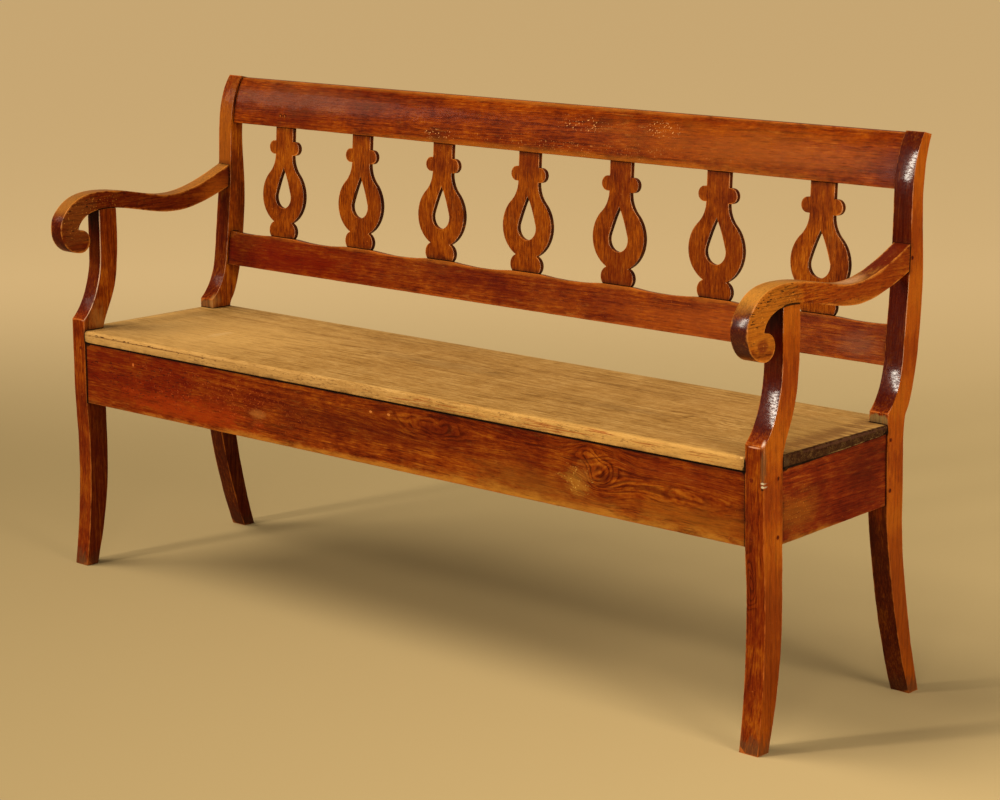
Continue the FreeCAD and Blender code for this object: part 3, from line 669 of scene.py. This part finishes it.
armWear = {"arris": 0.0034, "dents": 0.0006, "cells": (0.011, 0.009, 0.009), "crown": 0.12}
armLook = {"arrisWidth": 0.0042, "wornArris": (208, 128, 48), "ringWidth": 0.006,
           "ruffle": 0.00004, "ripple": 0.00003, "coatRoughness": 0.19, "scuff": 0.10,
           "mottle": 1.7, "fibre": 1.6, "streaks": 0.34, "fleckShare": 0.65}
armTones = {"golden": (188, 112, 28), "top": (194, 134, 52), "scroll": (62, 11, 4),
            "red": (96, 28, 7), "pit": (36, 14, 7), "orange": (190, 96, 20),
            "brown": (148, 60, 10), "eye": (120, 48, 14), "speck": (222, 150, 58),
            "sheen": (210, 160, 116), "umber": (132, 74, 28), "tan": (172, 116, 46)}
# rows of tone, share, middle from the arm's own middle line, size, soft, ragged, facing
armAreas = {
    "left_arm": [
        # painted shade: the left arm's side towards the seat is painted a darker red
        ("red", 0.70, (0, -0.02, 0.70), anywhere, 0.6, 0.5, towardsRight),
        ("umber", 0.60, (0, -0.20, 0.68), (2, 0.06, 0.08), 0.8, 0.8, towardsRight),
        ("golden", 0.60, (0, -0.12, 0.738), (2, 0.12, 0.018), 0.8, 0.8, towardsRight),
        ("orange", 0.55, (0, 0.15, 0.67), (2, 0.07, 0.08), 0.8, 0.4, towardsRight),
        ("tan", 0.60, (0, 0.0, 0.72), anywhere, 0.6, 0.5, upwards),
        ("scroll", 0.65, (0, -0.24, 0.640), (2, 0.06, 0.085), 0.7, 0.2, towardsFront)],
    "right_arm": [
        ("brown", 0.50, (0, 0.06, 0.69), (2, 0.22, 0.10), 0.7, 0.6, towardsRight),
        ("golden", 0.70, (0, -0.19, 0.69), (2, 0.11, 0.10), 0.6, 0.6, towardsRight),
        ("eye", 0.85, (0, -0.200, 0.634), (2, 0.016, 0.016), 0.6, 0.8, towardsRight),
        ("golden", 0.40, (0, 0.02, 0.668), (2, 0.14, 0.012), 0.8, 0.8, towardsRight),
        ("tan", 0.50, (0, 0.0, 0.72), anywhere, 0.6, 0.5, upwards),
        ("top", 0.60, (0, -0.17, 0.72), (2, 0.10, 0.10), 0.7, 0.5, upwards),
        ("umber", 0.40, (0, -0.19, 0.735), (2, 0.05, 0.02), 0.8, 1.0, upwards),
        ("red", 1.0, (0, 0.16, 0.73), (2, 0.100, 0.07), 0.5, 0.6, upwards),
        # painted reflection: a pale sheen on the low point of the arm's top
        ("sheen", 0.60, (-0.004, 0.035, 0.702), (0.018, 0.055, 0.03), 0.8, 0.4, upwards),
        ("scroll", 1.0, (0, -0.24, 0.640), (2, 0.06, 0.085), 0.7, 0.2, towardsFront)]}
armSmall = {
    "specks": [("speck", 0.70, (0, -0.17, 0.69), (0.04, 0.12, 0.08), 0.8, 0.8, towardsRight)],
    "veins": [("pit", 0.55, (0, -0.15, 0.69), (0.04, 0.20, 0.09), 0.8, 0.8, towardsRight)],
    "pits": [("pit", 0.45, (0, -0.05, 0.69), (0.04, 0.30, 0.10), 0.8, 1.0, towardsRight),
             ("pit", 0.90, (0, -0.17, 0.712), (0.04, 0.08, 0.022), 0.7, 1.2, towardsRight),
             ("pit", 0.80, (0, -0.225, 0.68), (0.04, 0.018, 0.05), 0.7, 1.2, towardsRight)]}


def armPatches(side, rows):
    return [patch(armTones[key], share, (side + x, y, z), size, soft, ragged, facing)
            for key, share, (x, y, z), size, soft, ragged, facing in rows]


for index, (node, x) in enumerate((("left_arm", -0.8165), ("right_arm", 0.8165))):
    arm = wornCopy(node, armWear)
    arm.data.materials.append(woodFinish(
        "polished " + node.replace("_", " "), "Y", 31 + index,
        patches=armPatches(x, armAreas[node]),
        polish=[patch(None, 1.0 if x > 0 else 0.1, (x + 0.012, -0.24, 0.662),
                      (0.05, 0.09, 0.055), 0.6, 0.1, towardsFront)],
        glints=[patch(postTones["glint"], 0.9 if x > 0 else 0.5, (x, -0.235, 0.690),
                      (2, 0.03, 0.035), 0.5, 0.2)],
        **{kind: armPatches(x, rows) for kind, rows in armSmall.items()}, **armLook))
    settle(arm, "arm_wood", node)
print("arms done")

# Rails

railWear = {"arris": 0.0015, "dents": 0.0005, "cells": (0.012, 0.006, 0.012)}
sideWear = {"arris": 0.0015, "dents": 0.0005, "cells": (0.006, 0.012, 0.012)}
golden, redder, maroon = (176, 116, 38), (100, 16, 3), (80, 16, 5)
frontFace, crestFace, lowerFace = -0.19, 0.2, 0.18      # metres, where the rails' faces stand


def onFace(y, *rows):
    # rows of colour, share, x, z, reach along and up, soft, ragged, facing
    return [patch(colour, share, (x, y, z), (along, 1, up), *rest)
            for colour, share, x, z, along, up, *rest in rows]


frontRail = {
    "pith": (0.20, 0.12), "ringWidth": 0.010, "blotchShare": 0.45, "ringShare": 0.18,
    "seamShadeWidth": 0.0040, "fleckShare": 0.45, "fibre": 1.15,
    "dark": (46, 9, 3), "deep": (92, 25, 3), "warm": (126, 50, 6),
    "pale": (160, 86, 16),
    "knots": [((0.509, -0.192, 0.390), (0.040, 1.0, 0.026), 3.2, 0.85),
              ((0.478, -0.192, 0.410), (0.030, 1.0, 0.014), 1.6, 0.25),
              ((0.13, -0.192, 0.410), (0.090, 1.0, 0.020), 2.6, 0.5),
              ((0.68, -0.192, 0.378), (0.090, 1.0, 0.016), 1.4, 0.3)],
    "patches": onFace(
        frontFace,
        (redder, 0.75, -0.62, 0.395, 0.50, 0.13, 0.9),
        ((158, 54, 8), 0.55, -0.50, 0.345, 0.26, 0.040, 0.9, 1.0),
        ((160, 96, 40), 0.75, -0.305, 0.366, 0.038, 0.012, 0.8, 1.0),
        ((76, 16, 5), 0.60, -0.06, 0.385, 0.36, 0.05, 0.9),
        ((138, 78, 20), 0.60, 0.34, 0.350, 0.18, 0.034, 0.9, 0.7),
        ((176, 124, 42), 0.50, 0.455, 0.374, 0.034, 0.030, 0.9, 1.2),
        ((112, 34, 9), 0.5, 0.66, 0.412, 0.15, 0.024, 0.8),
        ((146, 84, 20), 0.60, 0.70, 0.345, 0.22, 0.036, 0.9, 0.6),
        (golden, 0.70, 0.10, 0.318, 1.1, 0.016, 0.8, 0.7),
        (golden, 0.50, 0.45, 0.322, 0.50, 0.028, 0.9, 0.6),
        ((198, 104, 44), 0.85, -0.6555, 0.4123, 0.0036, 0.0046, 0.5, 0.3),
        ((206, 128, 60), 0.80, -0.016, 0.4140, 0.0045, 0.0026, 0.5, 0.3),
        ((206, 128, 60), 0.80, 0.028, 0.4150, 0.0045, 0.0028, 0.5, 0.3),
        # painted shadow: a black line under the seat's front edge
        ((16, 6, 4), 0.95, 0, 0.4385, 2, 0.0046, 0.35, 0.1, towardsFront)),
    "marks": onFace(frontFace, ((138, 74, 22), 0.55, 0.470, 0.382, 0.026, 0.026, 0.9, 0.9)),
    "specks": onFace(
        frontFace,
        ((208, 156, 70), 0.8, 0.46, 0.376, 0.050, 0.032, 0.8, 1.0),
        ((190, 96, 40), 0.5, -0.40, 0.385, 0.30, 0.050, 0.8, 1.0)),
    "veins": onFace(frontFace, ((70, 18, 6), 0.6, 0.50, 0.385, 0.30, 0.06, 0.7)),
    "pits": onFace(frontFace, ((36, 8, 6), 0.6, -0.60, 0.385, 0.22, 0.05, 0.6, 1.0))}
sideRail = {
    "pith": (0.16, 0.10), "ringWidth": 0.007, "blotchShare": 0.55,
    "dark": (54, 9, 5), "deep": (98, 22, 5), "warm": (130, 42, 8),
    "pale": (168, 84, 22)}
rightRail = dict(
    sideRail,
    patches=[patch((158, 90, 22), 0.50, (0.83, -0.11, 0.365), (1, 0.09, 0.050), 0.9, 0.6),
             patch(maroon, 0.60, (0.83, 0.06, 0.390), (1, 0.085, 0.055), 0.9, 0.6),
             patch(golden, 0.7, (0.83, -0.06, 0.318), (1, 0.14, 0.014), 0.8, 0.6)],
    specks=[patch((200, 136, 50), 0.6, (0.83, -0.11, 0.375), (1, 0.06, 0.050), 0.9, 0.8)])
crest = {
    "pith": (0.12, 0.10), "ringWidth": 0.009, "blotchShare": 0.45, "streaks": 0.12,
    "glowShare": 0.25, "ringShare": 0.06, "tone": 0.57, "fibre": 1.1,
    "deep": (98, 31, 2), "warm": (134, 53, 3), "pale": (168, 90, 14),
    "patches": onFace(
        crestFace,
        # painted sheen: a greyish reflection over the left part of the crest
        ((118, 64, 34), 0.45, -0.60, 0.885, 0.34, 0.040, 0.9, 0.5),
        ((160, 82, 10), 0.5, 0.50, 0.870, 0.42, 0.06, 0.9),
        ((84, 22, 9), 0.70, 0.79, 0.858, 0.055, 0.06, 0.9),
        ((174, 106, 34), 0.50, -0.1, 0.917, 1.2, 0.009, 0.8, 0.4),
        ((168, 98, 24), 0.55, 0.1, 0.828, 0.8, 0.014, 0.8, 0.4)),
    "specks": onFace(
        crestFace,
        ((226, 166, 100), 0.9, -0.23, 0.843, 0.050, 0.016, 0.6),
        ((226, 166, 100), 0.8, 0.12, 0.885, 0.070, 0.020, 0.6),
        ((226, 166, 100), 0.9, 0.30, 0.888, 0.060, 0.018, 0.6),
        ((214, 148, 80), 0.4, 0.10, 0.845, 0.40, 0.020, 0.8, 1.2))}
lowerRail = {
    "pith": (0.10, 0.09), "ringWidth": 0.007, "blotchShare": 0.55, "ringShare": 0.07,
    "streaks": 0.14, "dark": (48, 11, 3), "deep": (90, 26, 3),
    "warm": (126, 50, 5), "pale": (164, 88, 16),
    "patches": onFace(
        lowerFace,
        (redder, 0.80, -0.62, 0.575, 0.34, 0.06, 0.9),
        ((160, 76, 18), 0.5, 0.42, 0.570, 0.30, 0.04, 0.9),
        # painted sheen: a grey reflection near the right end of the lower rail
        ((128, 84, 60), 0.35, 0.74, 0.575, 0.06, 0.030, 0.9, 0.6),
        ((172, 98, 26), 0.6, 0.0, 0.612, 1.2, 0.010, 0.7, 0.5),
        ((172, 88, 26), 0.5, 0.2, 0.542, 1.2, 0.009, 0.7, 0.7))}
hiddenRail = {"coat": 0.0, "roughness": 0.62, "arrisStrength": 0.3, "dark": (48, 28, 16),
              "deep": (90, 56, 32), "warm": (122, 80, 46), "pale": (150, 104, 62),
              "blotch": (74, 44, 26), "wornArris": (160, 118, 76)}
rails = {"front_seat_rail": ("X", railWear, "rail_wood", frontRail),
         "left_seat_rail": ("Y", sideWear, "rail_wood", sideRail),
         "right_seat_rail": ("Y", sideWear, "rail_wood", rightRail),
         "crest_rail": ("X", railWear, "back_wood", crest),
         "lower_back_rail": ("X", railWear, "back_wood", lowerRail),
         "rear_seat_rail": ("X", railWear, "hidden_wood", hiddenRail),
         "left_bearer": ("Y", sideWear, "hidden_wood", hiddenRail),
         "right_bearer": ("Y", sideWear, "hidden_wood", hiddenRail)}
for index, (node, (grain, wear, slot, look)) in enumerate(rails.items()):
    rail = wornCopy(node, wear)
    rail.data.materials.append(woodFinish("wood of " + node.replace("_", " "), grain,
                                          51 + index, **look))
    settle(rail, slot, node)
print("rails done")

# Seat plank

knockChance = random.Random(17)
cornerNick = ((0.795, -0.1945, 0.452), 0.009, 0.005)      # middle, reach and depth in metres
edgeKnocks = [((-0.79 + index * 0.052 + knockChance.uniform(-0.02, 0.02), -0.1945,
                knockChance.choice((0.4405, 0.459))),
               knockChance.uniform(0.006, 0.014), knockChance.uniform(0.0012, 0.0028))
              for index in range(30)]
seatWear = {"arris": 0.0034, "dents": 0.0012, "cells": (0.012, 0.014, 0.007),
            "knocks": [cornerNick] + edgeKnocks}
seatLook = {
    "dark": (104, 72, 32), "deep": (148, 106, 50), "warm": (172, 128, 66),
    "pale": (194, 152, 88), "blotch": (148, 108, 56), "wornArris": (216, 172, 100),
    "glow": (198, 154, 88), "fleck": (210, 168, 102), "fleckShare": 0.40, "fibre": 1.35,
    "grimeAndShade": (66, 40, 20), "pith": (0.05, 0.33), "ringWidth": 0.011, "taper": 0.02,
    "ringWarp": 0.045, "blotchShare": 0.30, "coat": 0.0, "roughness": 0.55, "specular": 0.05,
    "streaks": 0.22, "poreShare": 0.35, "ruffle": 0.00003, "tone": 0.46, "mottle": 0.75,
    "knots": [((0.63, -0.02, 0.46), (0.090, 0.030, 1.0), 3.0, 0.35),
              ((0.36, -0.06, 0.46), (0.14, 0.024, 1.0), 1.6, 0.3),
              ((-0.10, 0.03, 0.46), (0.22, 0.030, 1.0), 1.6, 0.3)],
    "patches": [
        patch((138, 102, 54), 0.55, (0.43, -0.05, 0.46), (0.15, 0.022, 1), 0.8, 1.0),
        patch((146, 110, 60), 0.50, (-0.05, 0.02, 0.46), (0.26, 0.030, 1), 0.9, 1.0),
        patch((150, 116, 62), 0.45, (0.76, 0.02, 0.46), (0.14, 0.20, 1), 0.8, 1.0),
        patch((214, 168, 96), 0.65, (-0.62, -0.05, 0.46), (0.46, 0.26, 1), 0.9),
        patch((206, 158, 84), 0.60, (0.55, -0.1945, 0.452), (0.55, 0.016, 0.05), 0.7, 0.9),
        patch((184, 142, 82), 0.55, (-0.5, -0.1945, 0.450), (0.7, 0.012, 0.020), 0.7, 0.4),
        patch((220, 184, 128), 0.35, (-0.573, -0.05, 0.46), (0.016, 0.045, 1), 0.9, 0.6),
        patch((92, 50, 24), 0.60, (0.80, -0.02, 0.46), (0.040, 0.30, 1), 0.9, 1.0),
        patch((42, 15, 9), 0.94, (0.8325, 0.0, 0.449), (0.006, 1, 1), 0.5, 0.3),
        patch((92, 58, 44), 0.55, (0.8325, 0.02, 0.4565), (0.006, 0.17, 0.0030), 0.6, 0.9),
        patch((72, 26, 13), 0.92, (-0.8325, 0.0, 0.449), (0.006, 1, 1), 0.5, 0.3),
        patch((74, 56, 38), 0.7, (0.8325, -0.142, 0.451), (0.006, 0.013, 0.012), 0.6, 0.9),
        patch((236, 188, 116), 0.7, (0.789, -0.1945, 0.458), (0.0040, 0.006, 0.0014), 0.5),
        patch((18, 9, 6), 0.95, (0.7970, -0.1945, 0.449), (0.0036, 0.02, 0.012), 0.3, 0.3)],
    "veins": [patch((146, 74, 26), 0.75, (0.40, -0.1945, 0.450), (0.50, 0.008, 0.012), 0.4),
              patch((120, 76, 30), 0.45, (0.20, -0.04, 0.46), (0.70, 0.13, 1), 0.8, 1.0)],
    # painted shadow: a black line along the bottom of the seat's right end
    "marks": [patch((14, 7, 5), 0.9, (0.8325, 0.0, 0.4390), (0.006, 1, 0.0036), 0.4, 0.1),
              patch((84, 44, 18), 0.65, (-0.62, -0.1945, 0.453), (0.30, 0.006, 0.0014),
                    0.6, 0.8)],
    "pits": [patch((48, 24, 10), 0.95, (-0.62, -0.1945, 0.4535), (0.30, 0.006, 0.0035),
                   0.4, 0.8),
             patch((96, 56, 26), 0.4, (0.0, -0.1945, 0.450), (1.0, 0.004, 0.012), 0.4)]}
seat = wornCopy("seat_plank", seatWear)
seat.data.materials.append(woodFinish("worn seat plank", "X", 71, **seatLook))
settle(seat, "seat_wood", "seat_plank")
print("seat done")

# Splats: the middle one is worn, then a row of seven of it stands between the rails

splatRow = {"count": 7, "seed": 5, "grainSpread": 4.0,
            "wear": {"arris": 0.0018, "dents": 0.0003, "cells": (0.008, 0.0055, 0.008)}}
splatLook = {
    "pith": (0.05, 0.04), "ringWidth": 0.006, "arrisWidth": 0.0022, "streaks": 0.14,
    "ringShare": 0.08,
    "glints": [patch((240, 196, 160), 0.85, (0, 0, 0.7), anywhere, ragged=0.0)],
    "wornArris": (208, 122, 44), "dark": (54, 14, 3), "deep": (100, 36, 4),
    "warm": (136, 62, 6), "pale": (170, 94, 16),
    # painted shade: the side faces of each splat, turned right or left, are painted dark
    "patches": [patch((34, 14, 10), 0.8, (0, 0, 0.7), anywhere, facing=towardsRight),
                patch((34, 14, 10), 0.8, (0, 0, 0.7), anywhere, facing=towardsLeft),
                patch((104, 34, 10), 0.4, (0, 0, 0.83), (2, 2, 0.06), 0.9)]}


def rowTree():
    tree = bpy.data.node_groups.new("splat row", "GeometryNodeTree")
    face = tree.interface
    face.new_socket("Geometry", in_out="INPUT", socket_type="NodeSocketGeometry")
    for label, kind in (("First place", "NodeSocketVector"), ("Last place", "NodeSocketVector"),
                        ("Count", "NodeSocketInt"), ("Grain spread", "NodeSocketFloat"),
                        ("Seed", "NodeSocketInt"), ("Finish", "NodeSocketMaterial")):
        face.new_socket(label, in_out="INPUT", socket_type=kind)
    face.new_socket("Geometry", in_out="OUTPUT", socket_type="NodeSocketGeometry")
    add = tree.nodes.new
    link = tree.links.new
    given = add("NodeGroupInput").outputs
    line = add("GeometryNodeMeshLine")
    line.mode = "END_POINTS"
    link(given["First place"], line.inputs["Start Location"])
    link(given["Last place"], line.inputs["Offset"])
    link(given["Count"], line.inputs["Count"])
    copies = add("GeometryNodeInstanceOnPoints")
    link(line.outputs["Mesh"], copies.inputs["Points"])
    link(given["Geometry"], copies.inputs["Instance"])
    chance = add("FunctionNodeRandomValue")
    chance.data_type = "FLOAT_VECTOR"
    link(given["Grain spread"], chance.inputs[1])
    link(given["Seed"], chance.inputs["Seed"])
    keep = add("GeometryNodeStoreNamedAttribute")
    keep.data_type = "FLOAT_VECTOR"
    keep.domain = "INSTANCE"
    keep.inputs["Name"].default_value = "grainShift"
    link(copies.outputs["Instances"], keep.inputs["Geometry"])
    link(chance.outputs[0], keep.inputs["Value"])
    real = add("GeometryNodeRealizeInstances")
    link(keep.outputs["Geometry"], real.inputs["Geometry"])
    finish = add("GeometryNodeSetMaterial")
    link(real.outputs["Geometry"], finish.inputs["Geometry"])
    link(given["Finish"], finish.inputs["Material"])
    link(finish.outputs["Geometry"], add("NodeGroupOutput").inputs["Geometry"])
    return tree


def throughTree(source, tree, values, name):
    # the tree's result as one plain mesh, with the modifier gone
    modifier = source.modifiers.new("row", "NODES")
    modifier.node_group = tree
    for item in tree.interface.items_tree:
        if item.item_type == "SOCKET" and item.in_out == "INPUT" and item.name in values:
            modifier[item.identifier] = values[item.name]
    graph = bpy.context.evaluated_depsgraph_get()
    mesh = bpy.data.meshes.new_from_object(source.evaluated_get(graph), depsgraph=graph)
    mesh.name = name
    bpy.data.objects.remove(source)
    piece = bpy.data.objects.new(name, mesh)
    bpy.context.scene.collection.objects.link(piece)
    return piece


splatNodes = ["splat_{}".format(index + 1) for index in range(splatRow["count"])]
middle = wornCopy(splatNodes[splatRow["count"] // 2], splatRow["wear"])
first, last = (sum((Vector(corner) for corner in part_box(node)), Vector()) / 2
               for node in (splatNodes[0], splatNodes[-1]))
splatFinish = woodFinish("polished splats", "Z", 91, shiftAttribute="grainShift", **splatLook)
splats = throughTree(middle, rowTree(), {
    "First place": (first.x, 0.0, 0.0), "Last place": (last.x, 0.0, 0.0),
    "Count": splatRow["count"], "Grain spread": splatRow["grainSpread"],
    "Seed": splatRow["seed"], "Finish": splatFinish}, "splats")
settle(splats, "splat_wood", *splatNodes)
print("splats done:", len(splats.data.polygons), "faces")

# Pegs keep their clean solids; their ends have a heart of another tone

pegLook = {"clear": 1.0, "ringWidth": 0.0016, "ringShare": 0.1, "pith": (0.0, 0.0),
           "roughness": 0.45, "deep": (96, 28, 6), "warm": (118, 42, 7), "pale": (140, 58, 10)}
pegHearts = {"front_rail_pegs": ((60, 18, 7), 0.35, (0.0030, 0.01, 0.0030)),
             "side_rail_pegs": ((20, 7, 5), 0.95, (0.01, 0.0019, 0.0031)),
             "arm_pegs": ((24, 8, 5), 0.9, (0.01, 0.0020, 0.0026)),
             "crest_repair_pegs": ((156, 80, 28), 0.9, (0.0030, 0.01, 0.0030))}
pegLooks = {"crest_repair_pegs": dict(pegLook, deep=(52, 17, 7), warm=(66, 22, 8),
                                      pale=(84, 34, 12))}


def pegEnds(mesh):
    # the middles of both ends of each separate peg
    left = set(range(len(mesh.vertices)))
    beside = {index: set() for index in left}
    same = {}
    for vertex in mesh.vertices:
        key = tuple(round(value, 5) for value in vertex.co)
        beside[vertex.index].add(same.setdefault(key, vertex.index))
        beside[same[key]].add(vertex.index)
    for edge in mesh.edges:
        a, b = edge.vertices
        beside[a].add(b)
        beside[b].add(a)
    while left:
        group, heap = [], [left.pop()]
        while heap:
            index = heap.pop()
            group.append(mesh.vertices[index].co)
            heap += [other for other in beside[index] if other in left]
            left -= set(heap)
        low = Vector(min(point[i] for point in group) for i in range(3))
        high = Vector(max(point[i] for point in group) for i in range(3))
        along = max(range(3), key=lambda i: high[i] - low[i])
        for end in (low, high):
            middle = (low + high) / 2
            middle[along] = end[along]
            yield tuple(middle)


for index, (node, (colour, share, size)) in enumerate(pegHearts.items()):
    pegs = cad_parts[node]
    hearts = [patch(colour, share, middle, size, 0.5, 0.2) for middle in pegEnds(pegs.data)]
    pegs.data.materials.clear()
    pegs.data.materials.append(woodFinish("end grain " + node.replace("_", " "), "X", 101 + index,
                                          patches=hearts, **pegLooks.get(node, pegLook)))
print("pegs done")

# Floor, light and camera

# painted shade and light: the floor near the bench is darker to the left and lighter to the right
stage = {"leftColour": (150, 131, 92), "rightColour": (192, 168, 120),
         "farColour": (226, 198, 149), "floorSize": 90.0,
         "across": (-2.0, 1.6), "sweep": (1.0, 4.0),      # metres over which the colours change
         "worldColour": shade(255, 246, 228), "worldLight": 0.16,
         "lampColour": shade(255, 243, 224)}
floorMesh = bpy.data.meshes.new("floor")
half = stage["floorSize"] / 2
floorMesh.from_pydata([(-half, -half, 0), (half, -half, 0), (half, half, 0), (-half, half, 0)], [],
                      [(0, 1, 2, 3)])
floor = bpy.data.objects.new("floor", floorMesh)
bpy.context.scene.collection.objects.link(floor)
floorFinish = bpy.data.materials.new("pale floor")
floorFinish.use_nodes = True
floorFinish.node_tree.nodes.clear()
ground = Wire(floorFinish.node_tree)
spotOnFloor = ground.node("TexCoord", output=3)
behind, across = (facingOf(spotOnFloor, way)
                  for way in ((-0.674, 0.738, 0.0), (0.738, 0.674, 0.0)))
# painted shade to the left and painted light to the right on the near floor
nearby = blended(between(across, *stage["across"]), stage["leftColour"], stage["rightColour"])
ground.node("OutputMaterial", None, {"Surface": ground.node("BsdfPrincipled", None, {
    "Base Color": blended(between(behind, *stage["sweep"]), nearby, stage["farColour"]),
    "Roughness": 0.9, "Specular IOR Level": 0.0})})
floorMesh.materials.append(floorFinish)

world = bpy.data.worlds.new("studio")
world.use_nodes = True
background = world.node_tree.nodes["Background"]
background.inputs["Color"].default_value = stage["worldColour"]
background.inputs["Strength"].default_value = stage["worldLight"]
bpy.context.scene.world = world

# name: kind, place, target, size in metres or degrees, height where it is a strip, power
lamps = {"overhead light": ("SUN", (-0.45, -0.30, 0.9), (0.0, 0.0, 0.0), 34.0, None, 2.15),
         "front left strip": ("AREA", (-1.50, -3.55, 2.30), (0.8, 0.0, 0.6), 0.36, 2.1, 98.0),
         "left softbox": ("AREA", (-3.5, -2.2, 2.2), (-0.6, 0.2, 0.8), 0.9, None, 16.0),
         "front softbox": ("AREA", (2.9, -3.6, 2.1), (0.2, 0.0, 0.5), 1.5, None, 50.0),
         "right softbox": ("AREA", (4.2, -0.7, 2.0), (0.4, 0.0, 0.5), 1.4, None, 78.0)}
for name, (kind, place, target, size, height, power) in lamps.items():
    lamp = bpy.data.lights.new(name, kind)
    if kind == "SUN":
        lamp.angle = math.radians(size)
    else:
        lamp.shape = "RECTANGLE"
        lamp.size, lamp.size_y = size, height or size
    lamp.energy = power
    lamp.color = stage["lampColour"][:3]
    holder = bpy.data.objects.new(name, lamp)
    holder.visible_glossy = kind == "AREA"      # the wide light is too even for the polish
    holder.location = place
    holder.rotation_euler = (Vector(target) - Vector(place)).to_track_quat("-Z", "Y").to_euler()
    bpy.context.scene.collection.objects.link(holder)

viewpoint = {"place": (3.1704, -3.2611, 1.3816), "yaw": 42.412, "pitch": 8.867, "roll": -0.392,
             "lens": 94.66, "shift": (-0.0343, -0.15)}
yaw, pitch, roll = (math.radians(viewpoint[key]) for key in ("yaw", "pitch", "roll"))
ahead = Vector((-math.sin(yaw) * math.cos(pitch), math.cos(yaw) * math.cos(pitch),
                -math.sin(pitch)))
level = Vector((math.cos(yaw), math.sin(yaw), 0.0))
upright = level.cross(ahead)
right = level * math.cos(roll) + upright * math.sin(roll)
up = upright * math.cos(roll) - level * math.sin(roll)
lens = bpy.data.cameras.new("camera")
lens.lens = viewpoint["lens"]
lens.shift_x, lens.shift_y = viewpoint["shift"]
camera = bpy.data.objects.new("camera", lens)
camera.matrix_world = Matrix.Translation(viewpoint["place"]) @ Matrix(
    (right, up, -ahead)).transposed().to_4x4()
bpy.context.scene.collection.objects.link(camera)
bpy.context.scene.camera = camera
bpy.context.scene.view_settings.view_transform = "Standard"
print("stage done")
